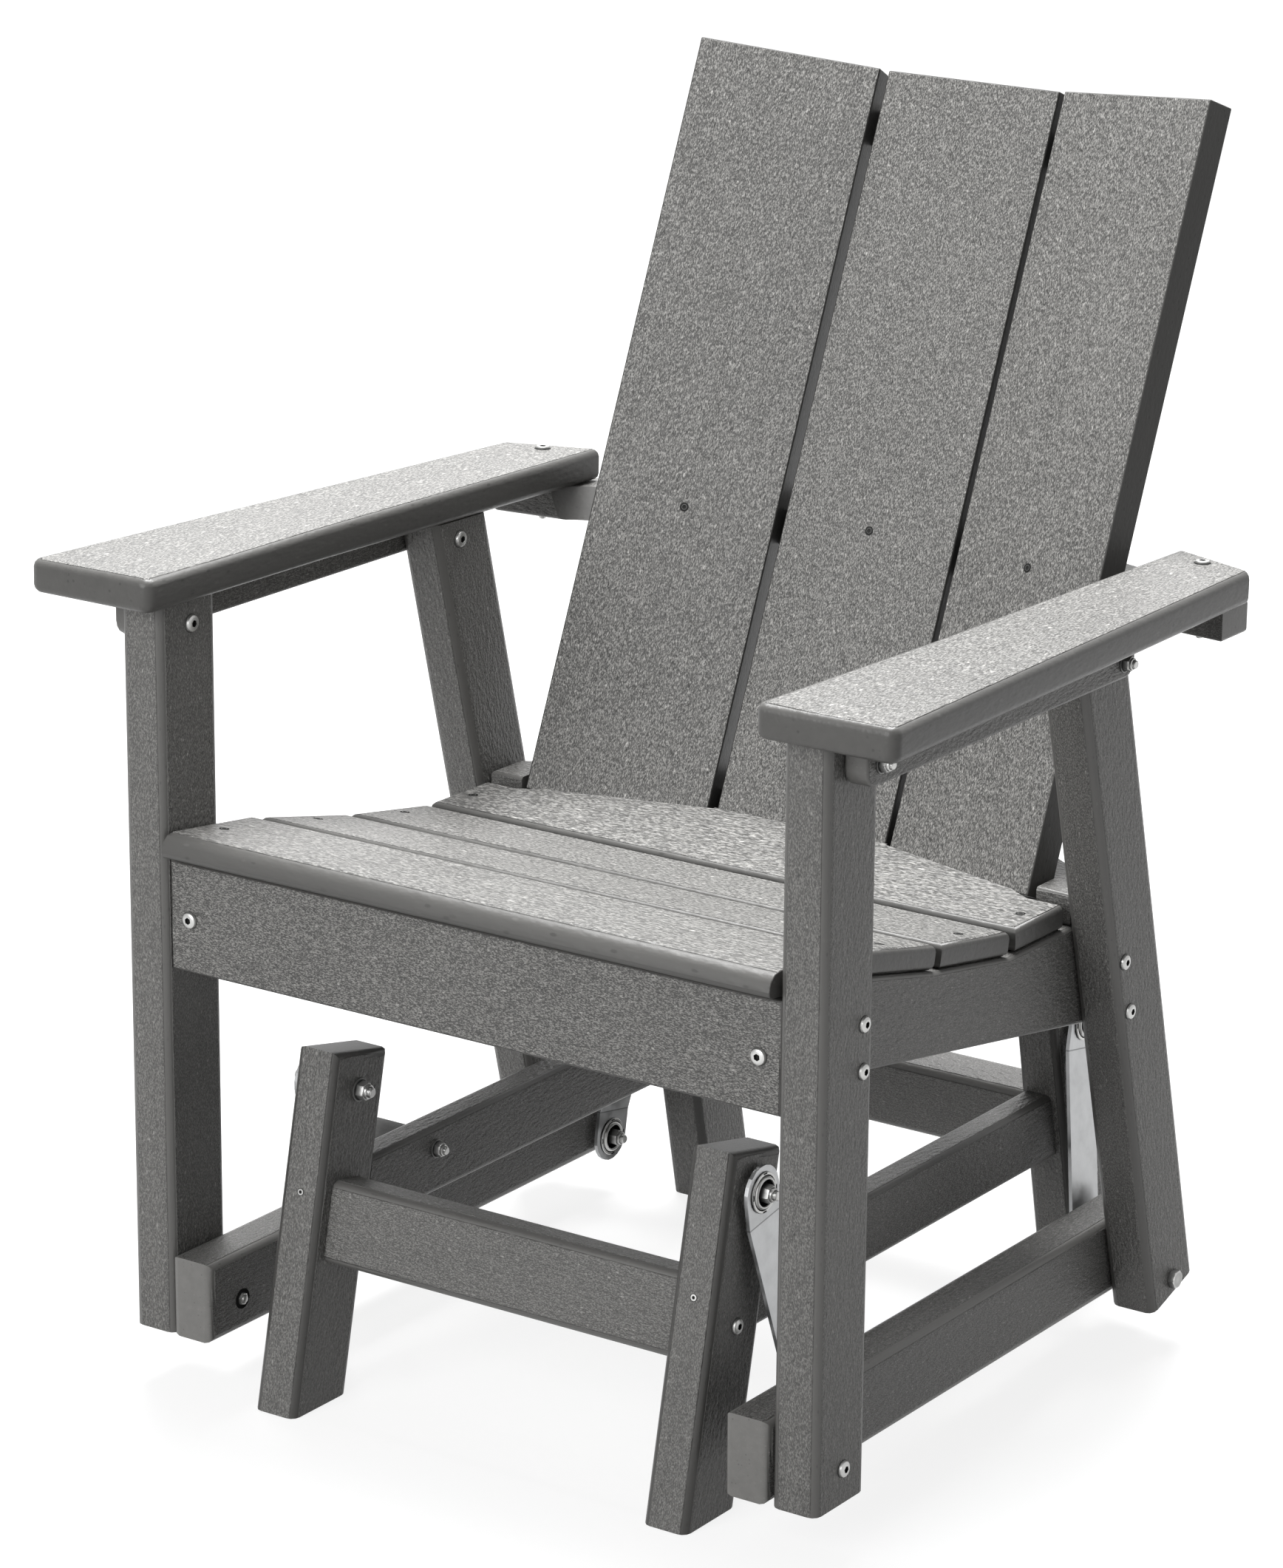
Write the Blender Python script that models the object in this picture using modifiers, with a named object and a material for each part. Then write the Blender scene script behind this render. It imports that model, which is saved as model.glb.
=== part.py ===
# Glider chair of thick plastic lumber, hung on four metal hangers from a low splayed base.
# X runs across the chair, the sitter faces -Y, Z is up. Lengths are in metres.
# Places are worked out from the front posts' front face and moved back to the middle at the end.
import bpy
import bmesh
from math import atan, cos, radians, sin, tan
from mathutils import Matrix, Vector

# Lumber stock
rail_thick = 0.0381
rail_wide = 0.0635
board_thick = 0.0254
slat_thick = 0.01905
rail_round = 0.007
board_round = 0.006
slat_round = 0.005
joint_gap = 0.0003
round_steps = 3
arc_steps = 4
round_share = 0.5
merge_reach = 0.00003
seam_reach = 0.00001
quarter_turn = radians(90)
sawn_angle = radians(50)
smooth_angle = radians(40)
flat_angle = radians(0.2)

# Base
base_half = 0.1961
base_middle = 0.311
leg_splay = radians(11.94)
leg_top = 0.273
stretcher_height = 0.141
base_rail_bottom = 0.124
base_rail_tall = 0.054
base_rail_inset = 0.0096
bumper_radius = 0.012
bumper_edge = 0.002
bumper_back = 0.184
bumper_height = 0.160
bumper_clear = 0.009

# Hangers and pivots
pivot_half = 0.226
pivot_top = 0.238
hanger_lean = 0.032
hanger_drop = 0.180
hanger_wide = 0.0405
hanger_thick = 0.003
hanger_setback = 0.006
crease_reach = 0.022
bearing_radius = 0.013
bearing_bore = 0.0068
bearing_width = 0.0105
flange_radius = 0.0155
flange_thick = 0.002
end_arc_steps = 10

# Bolts
bolt_radius = 0.004
washer_radius = 0.0085
washer_thick = 0.0015
nut_radius = 0.0072
nut_tall = 0.0065
tip_reach = 0.0035
head_radius = 0.0072
head_tall = 0.0055
small_bolt_radius = 0.003
small_washer_radius = 0.0072
small_nut_radius = 0.0058
small_nut_tall = 0.0055
small_head_radius = 0.006
small_head_tall = 0.0033
crown_share = 0.6
insert_depth = 0.028
bolt_sides = 12
ring_sides = 20

# Sides of the seat frame
side_offset = 0.0349
post_foot = 0.0433
rail_foot = 0.0446
rail_front = -0.003
rail_back = 0.540
rear_rake = radians(14.43)
rear_foot = 0.0365
rear_foot_front = 0.4764
rear_foot_rise = 0.0190

# Arms
arm_front = -0.0235
arm_height = 0.635
arm_fall_share = 0.0176
arm_inset = 0.009
arm_outset = 0.066
arm_kink = 0.195
arm_kink_inset = 0.0035
arm_tail_outset = 0.0365
arm_tail_reach = 0.020
arm_tail_deep_reach = 0.049
arm_corner = 0.009
arm_bolt_reach = 0.0225
arm_bolt_inset = 0.005
cleat_front = 0.0165
cleat_back_reach = 0.0382
cleat_deep = 0.0346
cleat_corner = 0.012
cleat_bolt_front_rise = 0.0156
cleat_bolt_rear_rise = 0.0125
cleat_bolt_front = 0.034
cleat_bolt_reach = 0.0222

# Seat
seat_clear = 0.0024
seat_nose = -0.008
nose_top_back = 0.008
nose_share = 0.8
nose_rim = 0.003
seat_front_height = 0.439
slat_gap = 0.008
slat_one_back = 0.101
slat_one_drop = 0.012
slat_two_back = 0.209
slat_two_drop = 0.037
slat_three_back = 0.311
slat_three_drop = 0.0545
slat_four_drop = 0.0005
seat_side_back = 0.387
side_rail_deep = 0.0676
side_rail_slope_share = 0.170
side_rail_back = 0.462
apron_front = 0.005
apron_deep = 0.0844
apron_round = 0.002

# Back
recline = atan(0.4162)
back_foot = 0.4397
back_foot_rise = 0.002
back_inset = 0.037
back_slat_gap = 0.0105
back_slat_tall = 0.5933
back_slat_below = 0.020
wing_yaw = radians(14.1)
wing_step = 0.0038
bar_outset = 0.0262
bar_lead = 0.0398
bar_front_sweep = 0.007
bar_end_deep = 0.038
bar_sweep = 0.041
bar_bend_share = 0.89
bar_middle_share = 1.9
scoop_radius = 0.050
scoop_inset = 0.0294
scoop_lead = 0.023
scoop_drop = 0.0116
scoop_sides = 48
low_bar_lead = 0.0435
batten_inset = 0.040
batten_drop = 0.0358
batten_deep = 0.024
overrun = 0.1

# Places worked out from the sizes above
base_rail_outer = base_half - base_rail_inset
inner_half = base_half + side_offset
post_inner = inner_half + rail_thick + joint_gap
post_outer = post_inner + rail_thick
seat_half = post_inner - seat_clear
cleat_inner = post_outer + joint_gap
cleat_outer = cleat_inner + slat_thick
pivot_y = base_middle - pivot_half
lower_y = pivot_y + hanger_lean
lower_z = pivot_top - hanger_drop
strip_half = hanger_wide / 2
arm_pitch = atan(arm_fall_share)
arm_under = arm_height - board_thick / cos(arm_pitch)
cleat_foot = arm_under - cleat_deep
post_at_cleat = rear_foot_front - (cleat_foot - rear_foot) * tan(rear_rake)
cleat_back = post_at_cleat + cleat_back_reach
cleat_bolt_back = post_at_cleat + cleat_bolt_reach
slat_two_height = seat_front_height - slat_two_drop
slat_three_height = seat_front_height - slat_three_drop
slat_four_height = slat_three_height - slat_four_drop
back_foot_height = slat_four_height + back_foot_rise
bar_front = back_foot + (arm_under - back_foot_height) * tan(recline) - bar_lead
bar_half = post_outer + bar_outset
arm_tail_back = bar_front + arm_tail_reach
arm_tail_deep = bar_front + arm_tail_deep_reach
arm_bolt_back = bar_front + arm_bolt_reach
back_span = seat_half - back_inset - back_slat_gap
back_slat_wide = 2 * back_span / (1 + 2 * cos(wing_yaw))
wing_inner = back_slat_wide / 2 + back_slat_gap
wing_front = wing_inner + back_slat_wide * cos(wing_yaw)
batten_half = wing_front - batten_inset
batten_rise = back_slat_tall * cos(recline) - batten_drop
back_top = back_foot + back_slat_tall * sin(recline) + board_thick * cos(recline)
batten_front = back_foot + batten_rise * tan(recline) + board_thick / cos(recline)
middle_y = (arm_front + max(back_top, batten_front + batten_deep)) / 2
side_names = {-1: "left", 1: "right"}

parts = None
cutters = None


def clear_scene():
    """Empty the file and make one collection for the chair and one for its cutters."""
    global parts, cutters
    for item in list(bpy.data.objects):
        bpy.data.objects.remove(item, do_unlink=True)
    parts = bpy.data.collections.new("Glider_chair")
    cutters = bpy.data.collections.new("Cutters")
    for group in (parts, cutters):
        bpy.context.scene.collection.children.link(group)


def make_material(name, colour, roughness, metallic):
    """One Principled material."""
    material = bpy.data.materials.new(name)
    material.use_nodes = True
    surface = material.node_tree.nodes["Principled BSDF"]
    surface.inputs["Base Color"].default_value = (*colour, 1)
    surface.inputs["Roughness"].default_value = roughness
    surface.inputs["Metallic"].default_value = metallic
    return material


def make_frame(name, location):
    """An empty that carries pieces; a moving frame stands on its joint's axis."""
    frame = bpy.data.objects.new(name, None)
    frame.location = Vector(location) - Vector((0, middle_y, 0))
    parts.objects.link(frame)
    return frame


def settle(name, mesh, finish, frame, origin):
    """Link a mesh that was drawn in the chair's places, with its origin at a given point."""
    origin = Vector(origin)
    mesh.transform(Matrix.Translation(-origin))
    piece = bpy.data.objects.new(name, mesh)
    mesh.materials.clear()
    mesh.materials.append(material_of(finish, name))
    parts.objects.link(piece)
    piece.parent = frame
    piece.location = origin - Vector((0, middle_y, 0)) - frame.location
    return piece


def material_of(finish, name):
    """The piece's own material, in the finish that it is made of."""
    finishes = {
        "lumber": ((0.105, 0.105, 0.10), 0.62, 0.0),
        "steel": ((0.62, 0.62, 0.63), 0.28, 1.0),
        "zinc": ((0.50, 0.50, 0.52), 0.35, 1.0),
        "rubber": ((0.02, 0.02, 0.02), 0.75, 0.0),
    }
    return make_material(f"{finish}_{name}", *finishes[finish])


def outline_mesh(points, thickness):
    """A flat outline, extruded by half its thickness each way along local Z."""
    curve = bpy.data.curves.new("outline", "CURVE")
    curve.dimensions = "2D"
    curve.fill_mode = "BOTH"
    curve.extrude = thickness / 2
    spline = curve.splines.new("POLY")
    spline.points.add(len(points) - 1)
    for knot, (across, along) in zip(spline.points, points):
        knot.co = (across, along, 0, 1)
    spline.use_cyclic_u = True
    holder = bpy.data.objects.new("outline", curve)
    cutters.objects.link(holder)
    bpy.context.view_layer.update()
    evaluated = holder.evaluated_get(bpy.context.evaluated_depsgraph_get())
    mesh = bpy.data.meshes.new_from_object(evaluated)
    bpy.data.objects.remove(holder, do_unlink=True)
    body = bmesh.new()
    body.from_mesh(mesh)
    bmesh.ops.remove_doubles(body, verts=body.verts, dist=merge_reach)
    bmesh.ops.dissolve_limit(body, angle_limit=flat_angle, verts=body.verts, edges=body.edges)
    bmesh.ops.recalc_face_normals(body, faces=body.faces)
    body.to_mesh(mesh)
    body.free()
    return mesh


def round_rims(mesh, thickness, radius, is_sawn):
    """Round the rims of an extruded outline, except along its sawn sides."""
    body = bmesh.new()
    body.from_mesh(mesh)
    reach = thickness / 2 - merge_reach
    rims = []
    for edge in body.edges:
        first, second = (corner.co for corner in edge.verts)
        flat = min(abs(first.z), abs(second.z)) > reach and first.z * second.z > 0
        if flat and not is_sawn(first.xy, second.xy):
            rims.append(edge)
    bmesh.ops.bevel(body, geom=rims, offset=radius, segments=round_steps, profile=round_share,
                    affect="EDGES", clamp_overlap=True)
    body.to_mesh(mesh)
    body.free()


def across_grain(angle):
    """A test for the sawn ends of a board whose grain runs at an angle in its outline."""
    grain = Vector((cos(angle), sin(angle)))
    return lambda first, second: abs((second - first).normalized().dot(grain)) < cos(sawn_angle)


def foot_sawn(first, second):
    """A base leg, which is sawn only where it stands."""
    return max(first.y, second.y) < merge_reach


def nowhere_sawn(first, second):
    """A board that is rounded all the way around."""
    return False


def softened(corners, radii, steps=arc_steps):
    """An outline whose corners are replaced by arcs of the given radii."""
    points = []
    count = len(corners)
    for index, (corner, radius) in enumerate(zip(corners, radii)):
        here = Vector(corner)
        if not radius:
            points.append(tuple(here))
            continue
        back = (Vector(corners[index - 1]) - here).normalized()
        ahead = (Vector(corners[(index + 1) % count]) - here).normalized()
        half = back.angle(ahead) / 2
        centre = here + (back + ahead).normalized() * (radius / sin(half))
        start = here + back * (radius / tan(half)) - centre
        turn = start.angle_signed(here + ahead * (radius / tan(half)) - centre)
        for step in range(steps + 1):
            swing = -turn * step / steps
            points.append((centre.x + start.x * cos(swing) - start.y * sin(swing),
                           centre.y + start.x * sin(swing) + start.y * cos(swing)))
    return points


def side_board(name, points, middle, thickness, radius, is_sawn, frame, finish="lumber"):
    """A board whose outline lies in the side view (Y, Z), centred at X = middle."""
    mesh = outline_mesh(points, thickness)
    round_rims(mesh, thickness, radius, is_sawn)
    stand = Matrix(((0, 0, 1, 0), (1, 0, 0, 0), (0, 1, 0, 0), (0, 0, 0, 1)))
    mesh.transform(Matrix.Translation((middle, 0, 0)) @ stand)
    ys, zs = zip(*points)
    origin = (middle, (min(ys) + max(ys)) / 2, (min(zs) + max(zs)) / 2)
    return settle(name, mesh, finish, frame, origin)


def flat_board(name, points, place, thickness, radius, is_sawn, frame, origin):
    """A board whose outline lies in a plane set by the matrix place, centred on that plane."""
    mesh = outline_mesh(points, thickness)
    round_rims(mesh, thickness, radius, is_sawn)
    mesh.transform(place)
    return settle(name, mesh, "lumber", frame, origin)


def pitched_plane(y, z, fall):
    """A plane whose local X is the chair's X and whose local Y falls towards the back."""
    return Matrix.Translation((0, y, z)) @ Matrix.Rotation(-fall, 4, "X")


def turned_mesh(profile, sides):
    """Turn a profile of (radius, height) points, listed from top to bottom, around Z."""
    mesh = bpy.data.meshes.new("profile")
    closed = profile[0][0] > 0
    links = [(step, step + 1) for step in range(len(profile) - 1)]
    if closed:
        links.append((len(profile) - 1, 0))
    mesh.from_pydata([(radius, 0, height) for radius, height in profile], links, [])
    holder = bpy.data.objects.new("profile", mesh)
    cutters.objects.link(holder)
    screw = holder.modifiers.new("turn", "SCREW")
    screw.steps = sides
    screw.render_steps = sides
    screw.use_merge_vertices = True
    screw.merge_threshold = seam_reach
    screw.use_normal_calculate = True
    bpy.context.view_layer.update()
    evaluated = holder.evaluated_get(bpy.context.evaluated_depsgraph_get())
    turned = bpy.data.meshes.new_from_object(evaluated)
    bpy.data.objects.remove(holder, do_unlink=True)
    body = bmesh.new()
    body.from_mesh(turned)
    bmesh.ops.recalc_face_normals(body, faces=body.faces)
    body.to_mesh(turned)
    body.free()
    turned.shade_smooth()
    turned.set_sharp_from_angle(angle=smooth_angle)
    return turned


def along_x(side, x, y, z):
    """Stand local Z outwards along X on one side of the chair."""
    return Matrix.Translation((side * x, y, z)) @ Matrix.Rotation(side * quarter_turn, 4, "Y")


def make_cutter(name, mesh, place):
    """A hidden solid that other pieces are cut with."""
    mesh.transform(Matrix.Translation((0, -middle_y, 0)) @ place)
    cutter = bpy.data.objects.new(name, mesh)
    cutter.hide_render = True
    cutter.display_type = "WIRE"
    cutters.objects.link(cutter)
    return cutter


def cut(piece, cutter):
    """Take the cutter's space out of a piece."""
    boolean = piece.modifiers.new(cutter.name, "BOOLEAN")
    boolean.operation = "DIFFERENCE"
    boolean.object = cutter


def bore(pieces, place, radius, start, end, sides=bolt_sides):
    """Bore one round hole along local Z of place through several pieces."""
    mesh = bpy.data.meshes.new("bore")
    drill = bmesh.new()
    bmesh.ops.create_cone(drill, cap_ends=True, segments=sides, radius1=radius,
                          radius2=radius, depth=end - start)
    drill.to_mesh(mesh)
    drill.free()
    mesh.transform(Matrix.Translation((0, 0, (start + end) / 2)))
    cutter = make_cutter(f"bore_{pieces[0].name}", mesh, place)
    for piece in pieces:
        cut(piece, cutter)


def fastener(name, place, grip_start, grip_end, ends, frame, small=False):
    """A bolt along local Z of place; ends names what closes its low and its high end."""
    low, high = ends
    profile = []
    profile += [(radius, grip_end + height) for radius, height in end_profile(high, small)]
    low_end = reversed(end_profile(low, small))
    profile += [(radius, grip_start - height) for radius, height in low_end]
    mesh = turned_mesh(profile, bolt_sides)
    mesh.transform(place)
    return settle(name, mesh, "steel", frame, place.translation)


def end_profile(kind, small):
    """Radius and height of a bolt's end from its axis outwards and back to the shank."""
    shank = small_bolt_radius if small else bolt_radius
    washer = small_washer_radius if small else washer_radius
    nut = small_nut_radius if small else nut_radius
    head = small_head_radius if small else head_radius
    washer_top = joint_gap + washer_thick
    nut_top = washer_top + (small_nut_tall if small else nut_tall)
    head_top = joint_gap + (small_head_tall if small else head_tall)
    profiles = {
        "nut": [(0, nut_top + tip_reach), (shank, nut_top + tip_reach), (shank, nut_top),
                (nut, nut_top), (nut, washer_top), (washer, washer_top), (washer, joint_gap),
                (shank, joint_gap)],
        "head": [(0, head_top), (head * crown_share, head_top), (head, head_top * crown_share),
                 (head, joint_gap), (shank, joint_gap)],
        "tip": [(0, tip_reach), (shank, tip_reach)],
        "plain": [(0, 0), (shank, 0)],
    }
    return profiles[kind]


def leg_centre(height):
    """Y of a front leg's centre line at a height above the floor."""
    return pivot_y + (height - pivot_top) * tan(leg_splay)


def mirrored(points):
    """A base outline reflected from the front legs to the rear legs."""
    return [(2 * base_middle - y, z) for y, z in reversed(points)]


def leg_outline():
    """Front leg: level foot, top sawn square to its slant."""
    half = rail_wide / 2 / cos(leg_splay)
    front_y = leg_centre(leg_top) - half
    back = (front_y + rail_wide * cos(leg_splay), leg_top - rail_wide * sin(leg_splay))
    return [(leg_centre(0) - half, 0), (leg_centre(0) + half, 0), back, (front_y, leg_top)]


def build_base(frame):
    """Four legs, two stretchers, two side rails and two bumpers."""
    legs = {}
    for side, side_name in side_names.items():
        middle = side * (base_half - rail_thick / 2)
        for end, points in (("front", leg_outline()), ("rear", mirrored(leg_outline()))):
            legs[side, end] = side_board(f"base_leg_{end}_{side_name}", points, middle,
                                         rail_thick, rail_round, foot_sawn, frame)
        build_base_rail(side, side_name, frame)
    for end in ("front", "rear"):
        build_stretcher(end, frame)
    return legs


def build_stretcher(end, frame):
    """A stretcher between two legs, tilted with them and set into the middle of their depth."""
    lean = leg_splay if end == "front" else -leg_splay
    y = leg_centre(stretcher_height)
    if end == "rear":
        y = 2 * base_middle - y
    half = base_half - rail_thick - joint_gap
    points = [(-half, -rail_wide / 2), (half, -rail_wide / 2), (half, rail_wide / 2),
              (-half, rail_wide / 2)]
    stand = Matrix.Rotation(quarter_turn - lean, 4, "X")
    place = Matrix.Translation((0, y, stretcher_height)) @ stand
    flat_board(f"base_stretcher_{end}", points, place, rail_thick, rail_round,
               across_grain(0), frame, (0, y, stretcher_height))


def build_base_rail(side, side_name, frame):
    """A thin rail between the front and the rear leg, with a round bumper on its outer face."""
    half = rail_wide / 2 / cos(leg_splay) + joint_gap
    top = base_rail_bottom + base_rail_tall
    front = [(leg_centre(top) + half, top), (leg_centre(base_rail_bottom) + half,
                                             base_rail_bottom)]
    back = [(2 * base_middle - y, z) for y, z in reversed(front)]
    middle = base_rail_outer - board_thick / 2
    side_board(f"base_side_rail_{side_name}", front + back, side * middle, board_thick,
               slat_round, across_grain(0), frame)
    start = base_rail_outer + joint_gap
    end = inner_half - bumper_clear
    edge = bumper_edge
    profile = [(0, end - start), (bumper_radius - edge, end - start),
               (bumper_radius, end - start - edge), (bumper_radius, 0), (0, 0)]
    mesh = turned_mesh(profile, ring_sides)
    place = along_x(side, start, bumper_back, bumper_height)
    mesh.transform(place)
    settle(f"stop_bumper_{side_name}", mesh, "rubber", frame, place.translation)


def build_hanger(side, end, legs, hanger_frames, base_frame):
    """A stamped strip with joggled ends, its two bearings and the upper pivot bolt."""
    name = f"{end}_{side_names[side]}"
    frame = hanger_frames[side, end]
    flip = 1 if end == "front" else -1
    length = (hanger_lean ** 2 + hanger_drop ** 2) ** 0.5
    lean = flip * atan(hanger_lean / hanger_drop)
    y_top = base_middle - flip * pivot_half
    y_low = y_top + flip * hanger_lean
    high_x = base_half + hanger_setback
    low_x = inner_half - hanger_setback
    turns = [(high_x, strip_half), (high_x, -crease_reach), (low_x, crease_reach - length),
             (low_x, -length - strip_half)]
    half = hanger_thick / 2
    points = [(x - half, z) for x, z in turns] + [(x + half, z) for x, z in reversed(turns)]
    mesh = outline_mesh([(side * x, z) for x, z in points], hanger_wide)
    hang = Matrix.Translation((0, y_top, pivot_top)) @ Matrix.Rotation(lean, 4, "X")
    mesh.transform(hang @ Matrix.Rotation(quarter_turn, 4, "X"))
    hanger = settle(f"hanger_{name}", mesh, "zinc", frame, (side * high_x, y_top, pivot_top))
    trim_hanger_ends(hanger, side, hang, length)
    for level, x, y, z in (("upper", high_x, y_top, pivot_top),
                           ("lower", low_x, y_low, lower_z)):
        build_bearing(f"bearing_{level}_{name}", side, level, y, z, frame)
        start = x - bearing_width
        bore([hanger], along_x(side, start, y, z), bearing_radius + joint_gap, 0,
             2 * bearing_width, ring_sides)
    end_x = base_half + joint_gap + bearing_width
    inner = base_half - rail_thick
    fastener(f"pivot_bolt_upper_{name}", along_x(side, 0, y_top, pivot_top), inner, end_x,
             ("nut", "nut"), base_frame)
    bore([legs[side, end]], along_x(side, 0, y_top, pivot_top), bolt_radius + joint_gap,
         inner - overrun, end_x)


def trim_hanger_ends(hanger, side, hang, length):
    """Round the strip's two ends to half circles around its pivots."""
    steps = end_arc_steps
    outer = hanger_wide + strip_half
    for level, centre, facing in (("upper", 0, 1), ("lower", -length, -1)):
        arc = [(strip_half * cos(2 * quarter_turn * step / steps),
                centre + facing * strip_half * sin(2 * quarter_turn * step / steps))
               for step in range(steps + 1)]
        frame = [(-outer, centre), (-outer, centre + facing * outer),
                 (outer, centre + facing * outer), (outer, centre)]
        mesh = outline_mesh(arc + frame, inner_half)
        place = hang @ Matrix.Translation((side * base_half, 0, 0))
        stand = Matrix(((0, 0, 1, 0), (1, 0, 0, 0), (0, 1, 0, 0), (0, 0, 0, 1)))
        cut(hanger, make_cutter(f"end_{level}_{hanger.name}", mesh, place @ stand))


def build_bearing(name, side, level, y, z, frame):
    """A pressed ring with a flange, in a hanger's end."""
    seat = base_half + joint_gap
    if level == "lower":
        seat = -(inner_half - joint_gap)
    strip_far = hanger_setback + hanger_thick / 2 - joint_gap
    profile = [(bearing_bore, bearing_width), (bearing_radius, bearing_width),
               (bearing_radius, strip_far + joint_gap * 2 + flange_thick),
               (flange_radius, strip_far + joint_gap * 2 + flange_thick),
               (flange_radius, strip_far + joint_gap), (bearing_radius, strip_far + joint_gap),
               (bearing_radius, 0), (bearing_bore, 0)]
    mesh = turned_mesh(profile, ring_sides)
    place = along_x(side, seat, y, z)
    if level == "lower":
        place = along_x(-side, seat, y, z)
    mesh.transform(place)
    settle(name, mesh, "zinc", frame, place.translation)


def arm_underside(y):
    """Height of the arm's lower face at a distance behind the front posts' face."""
    return arm_under - (y - arm_front) * arm_fall_share


def rear_post_outline():
    """Raked rear post: foot sawn upwards to the back, top sawn to the arm's underside."""
    reach = rail_wide / cos(rear_rake) - rear_foot_rise * tan(rear_rake)
    foot_back = (rear_foot_front + reach, rear_foot + rear_foot_rise)
    tops = []
    for offset in (rail_wide / cos(rear_rake), 0):
        slope = tan(rear_rake)
        low = rear_foot_front + offset
        z = (arm_under + arm_front * arm_fall_share - joint_gap
             - arm_fall_share * (low + rear_foot * slope)) / (1 - arm_fall_share * slope)
        tops.append((low - (z - rear_foot) * slope, z))
    return [(rear_foot_front, rear_foot), foot_back] + tops


def build_sides(frame):
    """Posts, lower rails, cleats and arms of both sides."""
    posts = {}
    for side, side_name in side_names.items():
        post_middle = side * (post_inner + rail_thick / 2)
        rail_middle = side * (inner_half + rail_thick / 2)
        front = [(0, post_foot), (rail_wide, post_foot),
                 (rail_wide, arm_underside(rail_wide) - joint_gap),
                 (0, arm_underside(0) - joint_gap)]
        upright = across_grain(quarter_turn)
        posts[side, "front"] = side_board(f"front_post_{side_name}", front, post_middle,
                                          rail_thick, rail_round, upright, frame)
        posts[side, "rear"] = side_board(f"rear_post_{side_name}", rear_post_outline(),
                                         post_middle, rail_thick, rail_round, upright, frame)
        top = rail_foot + rail_wide
        rail = [(rail_front, rail_foot), (rail_back, rail_foot), (rail_back, top),
                (rail_front, top)]
        posts[side, "rail"] = side_board(f"lower_rail_{side_name}", rail, rail_middle,
                                         rail_thick, rail_round, nowhere_sawn, frame)
        posts[side, "cleat"] = build_cleat(side, side_name, frame)
    return posts


def build_cleat(side, side_name, frame):
    """The board on the posts' outer faces that carries the arm."""
    corners = [(cleat_front, cleat_foot), (cleat_back, cleat_foot),
               (cleat_back, arm_underside(cleat_back) - joint_gap),
               (cleat_front, arm_underside(cleat_front) - joint_gap)]
    points = softened(corners, (cleat_corner, cleat_corner, 0, 0))
    middle = side * (cleat_inner + slat_thick / 2)
    return side_board(f"arm_cleat_{side_name}", points, middle, slat_thick, slat_round / 2,
                      nowhere_sawn, frame)


def build_arm(side, side_name, frame):
    """One arm: wide at the front, narrower behind the kink, its tail sawn at a slant."""
    stretch = 1 / cos(arm_pitch)
    rows = [(post_inner - arm_inset, arm_front), (post_outer + arm_outset, arm_front),
            (post_outer + arm_tail_outset, arm_tail_back),
            (post_inner - arm_kink_inset, arm_tail_deep),
            (post_inner - arm_kink_inset, arm_kink)]
    corners = [(side * x, (y - arm_front) * stretch) for x, y in rows]
    points = softened(corners, (arm_corner, arm_corner, 0, 0, 0))
    tail = (arm_tail_back - arm_front) * stretch - arm_corner

    def is_tail(first, second):
        return min(first.y, second.y) > tail

    place = pitched_plane(arm_front, arm_height, arm_pitch)
    place = place @ Matrix.Translation((0, 0, -board_thick / 2))
    origin = (side * (post_inner + rail_thick / 2), arm_kink, arm_underside(arm_kink))
    return flat_board(f"arm_{side_name}", points, place, board_thick, board_round, is_tail,
                      frame, origin)


def seat_line():
    """Front and back ends of the four seat slats' top faces, as (y, z)."""
    one = ((nose_top_back, seat_front_height), (slat_one_back, seat_front_height - slat_one_drop))
    slope_two = (slat_two_height - one[1][1]) / (slat_two_back - one[1][0])
    two = ((one[1][0] + slat_gap, one[1][1] + slat_gap * slope_two),
           (slat_two_back, slat_two_height))
    slope_three = (slat_three_height - slat_two_height) / (slat_three_back - slat_two_back)
    three = ((slat_two_back + slat_gap, slat_two_height + slat_gap * slope_three),
             (slat_three_back, slat_three_height))
    four = ((slat_three_back + slat_gap, slat_three_height),
            (back_foot + overrun / 2, slat_four_height))
    return one, two, three, four


def rail_tops():
    """Upper outline of a seat side rail, one clearance below the slats it carries."""
    lines = []
    for (front_y, front_z), (back_y, back_z) in seat_line():
        slope = (back_z - front_z) / (back_y - front_y)
        drop = slat_thick * (1 + slope ** 2) ** 0.5 + joint_gap
        lines.append((slope, front_z - slope * front_y - drop))
    start = apron_front + slat_thick + joint_gap
    tops = [(start, lines[0][0] * start + lines[0][1])]
    for (slope, rise), (next_slope, next_rise) in zip(lines, lines[1:]):
        y = (next_rise - rise) / (slope - next_slope)
        tops.append((y, slope * y + rise))
    slope, rise = lines[-1]
    tops.append((side_rail_back, slope * side_rail_back + rise))
    return tops


def side_rail_foot(start, y):
    """Height of a seat side rail's lower edge, where its upper edge starts at start."""
    start_y, start_z = start
    return start_z - side_rail_deep - side_rail_slope_share * (y - start_y)


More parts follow.
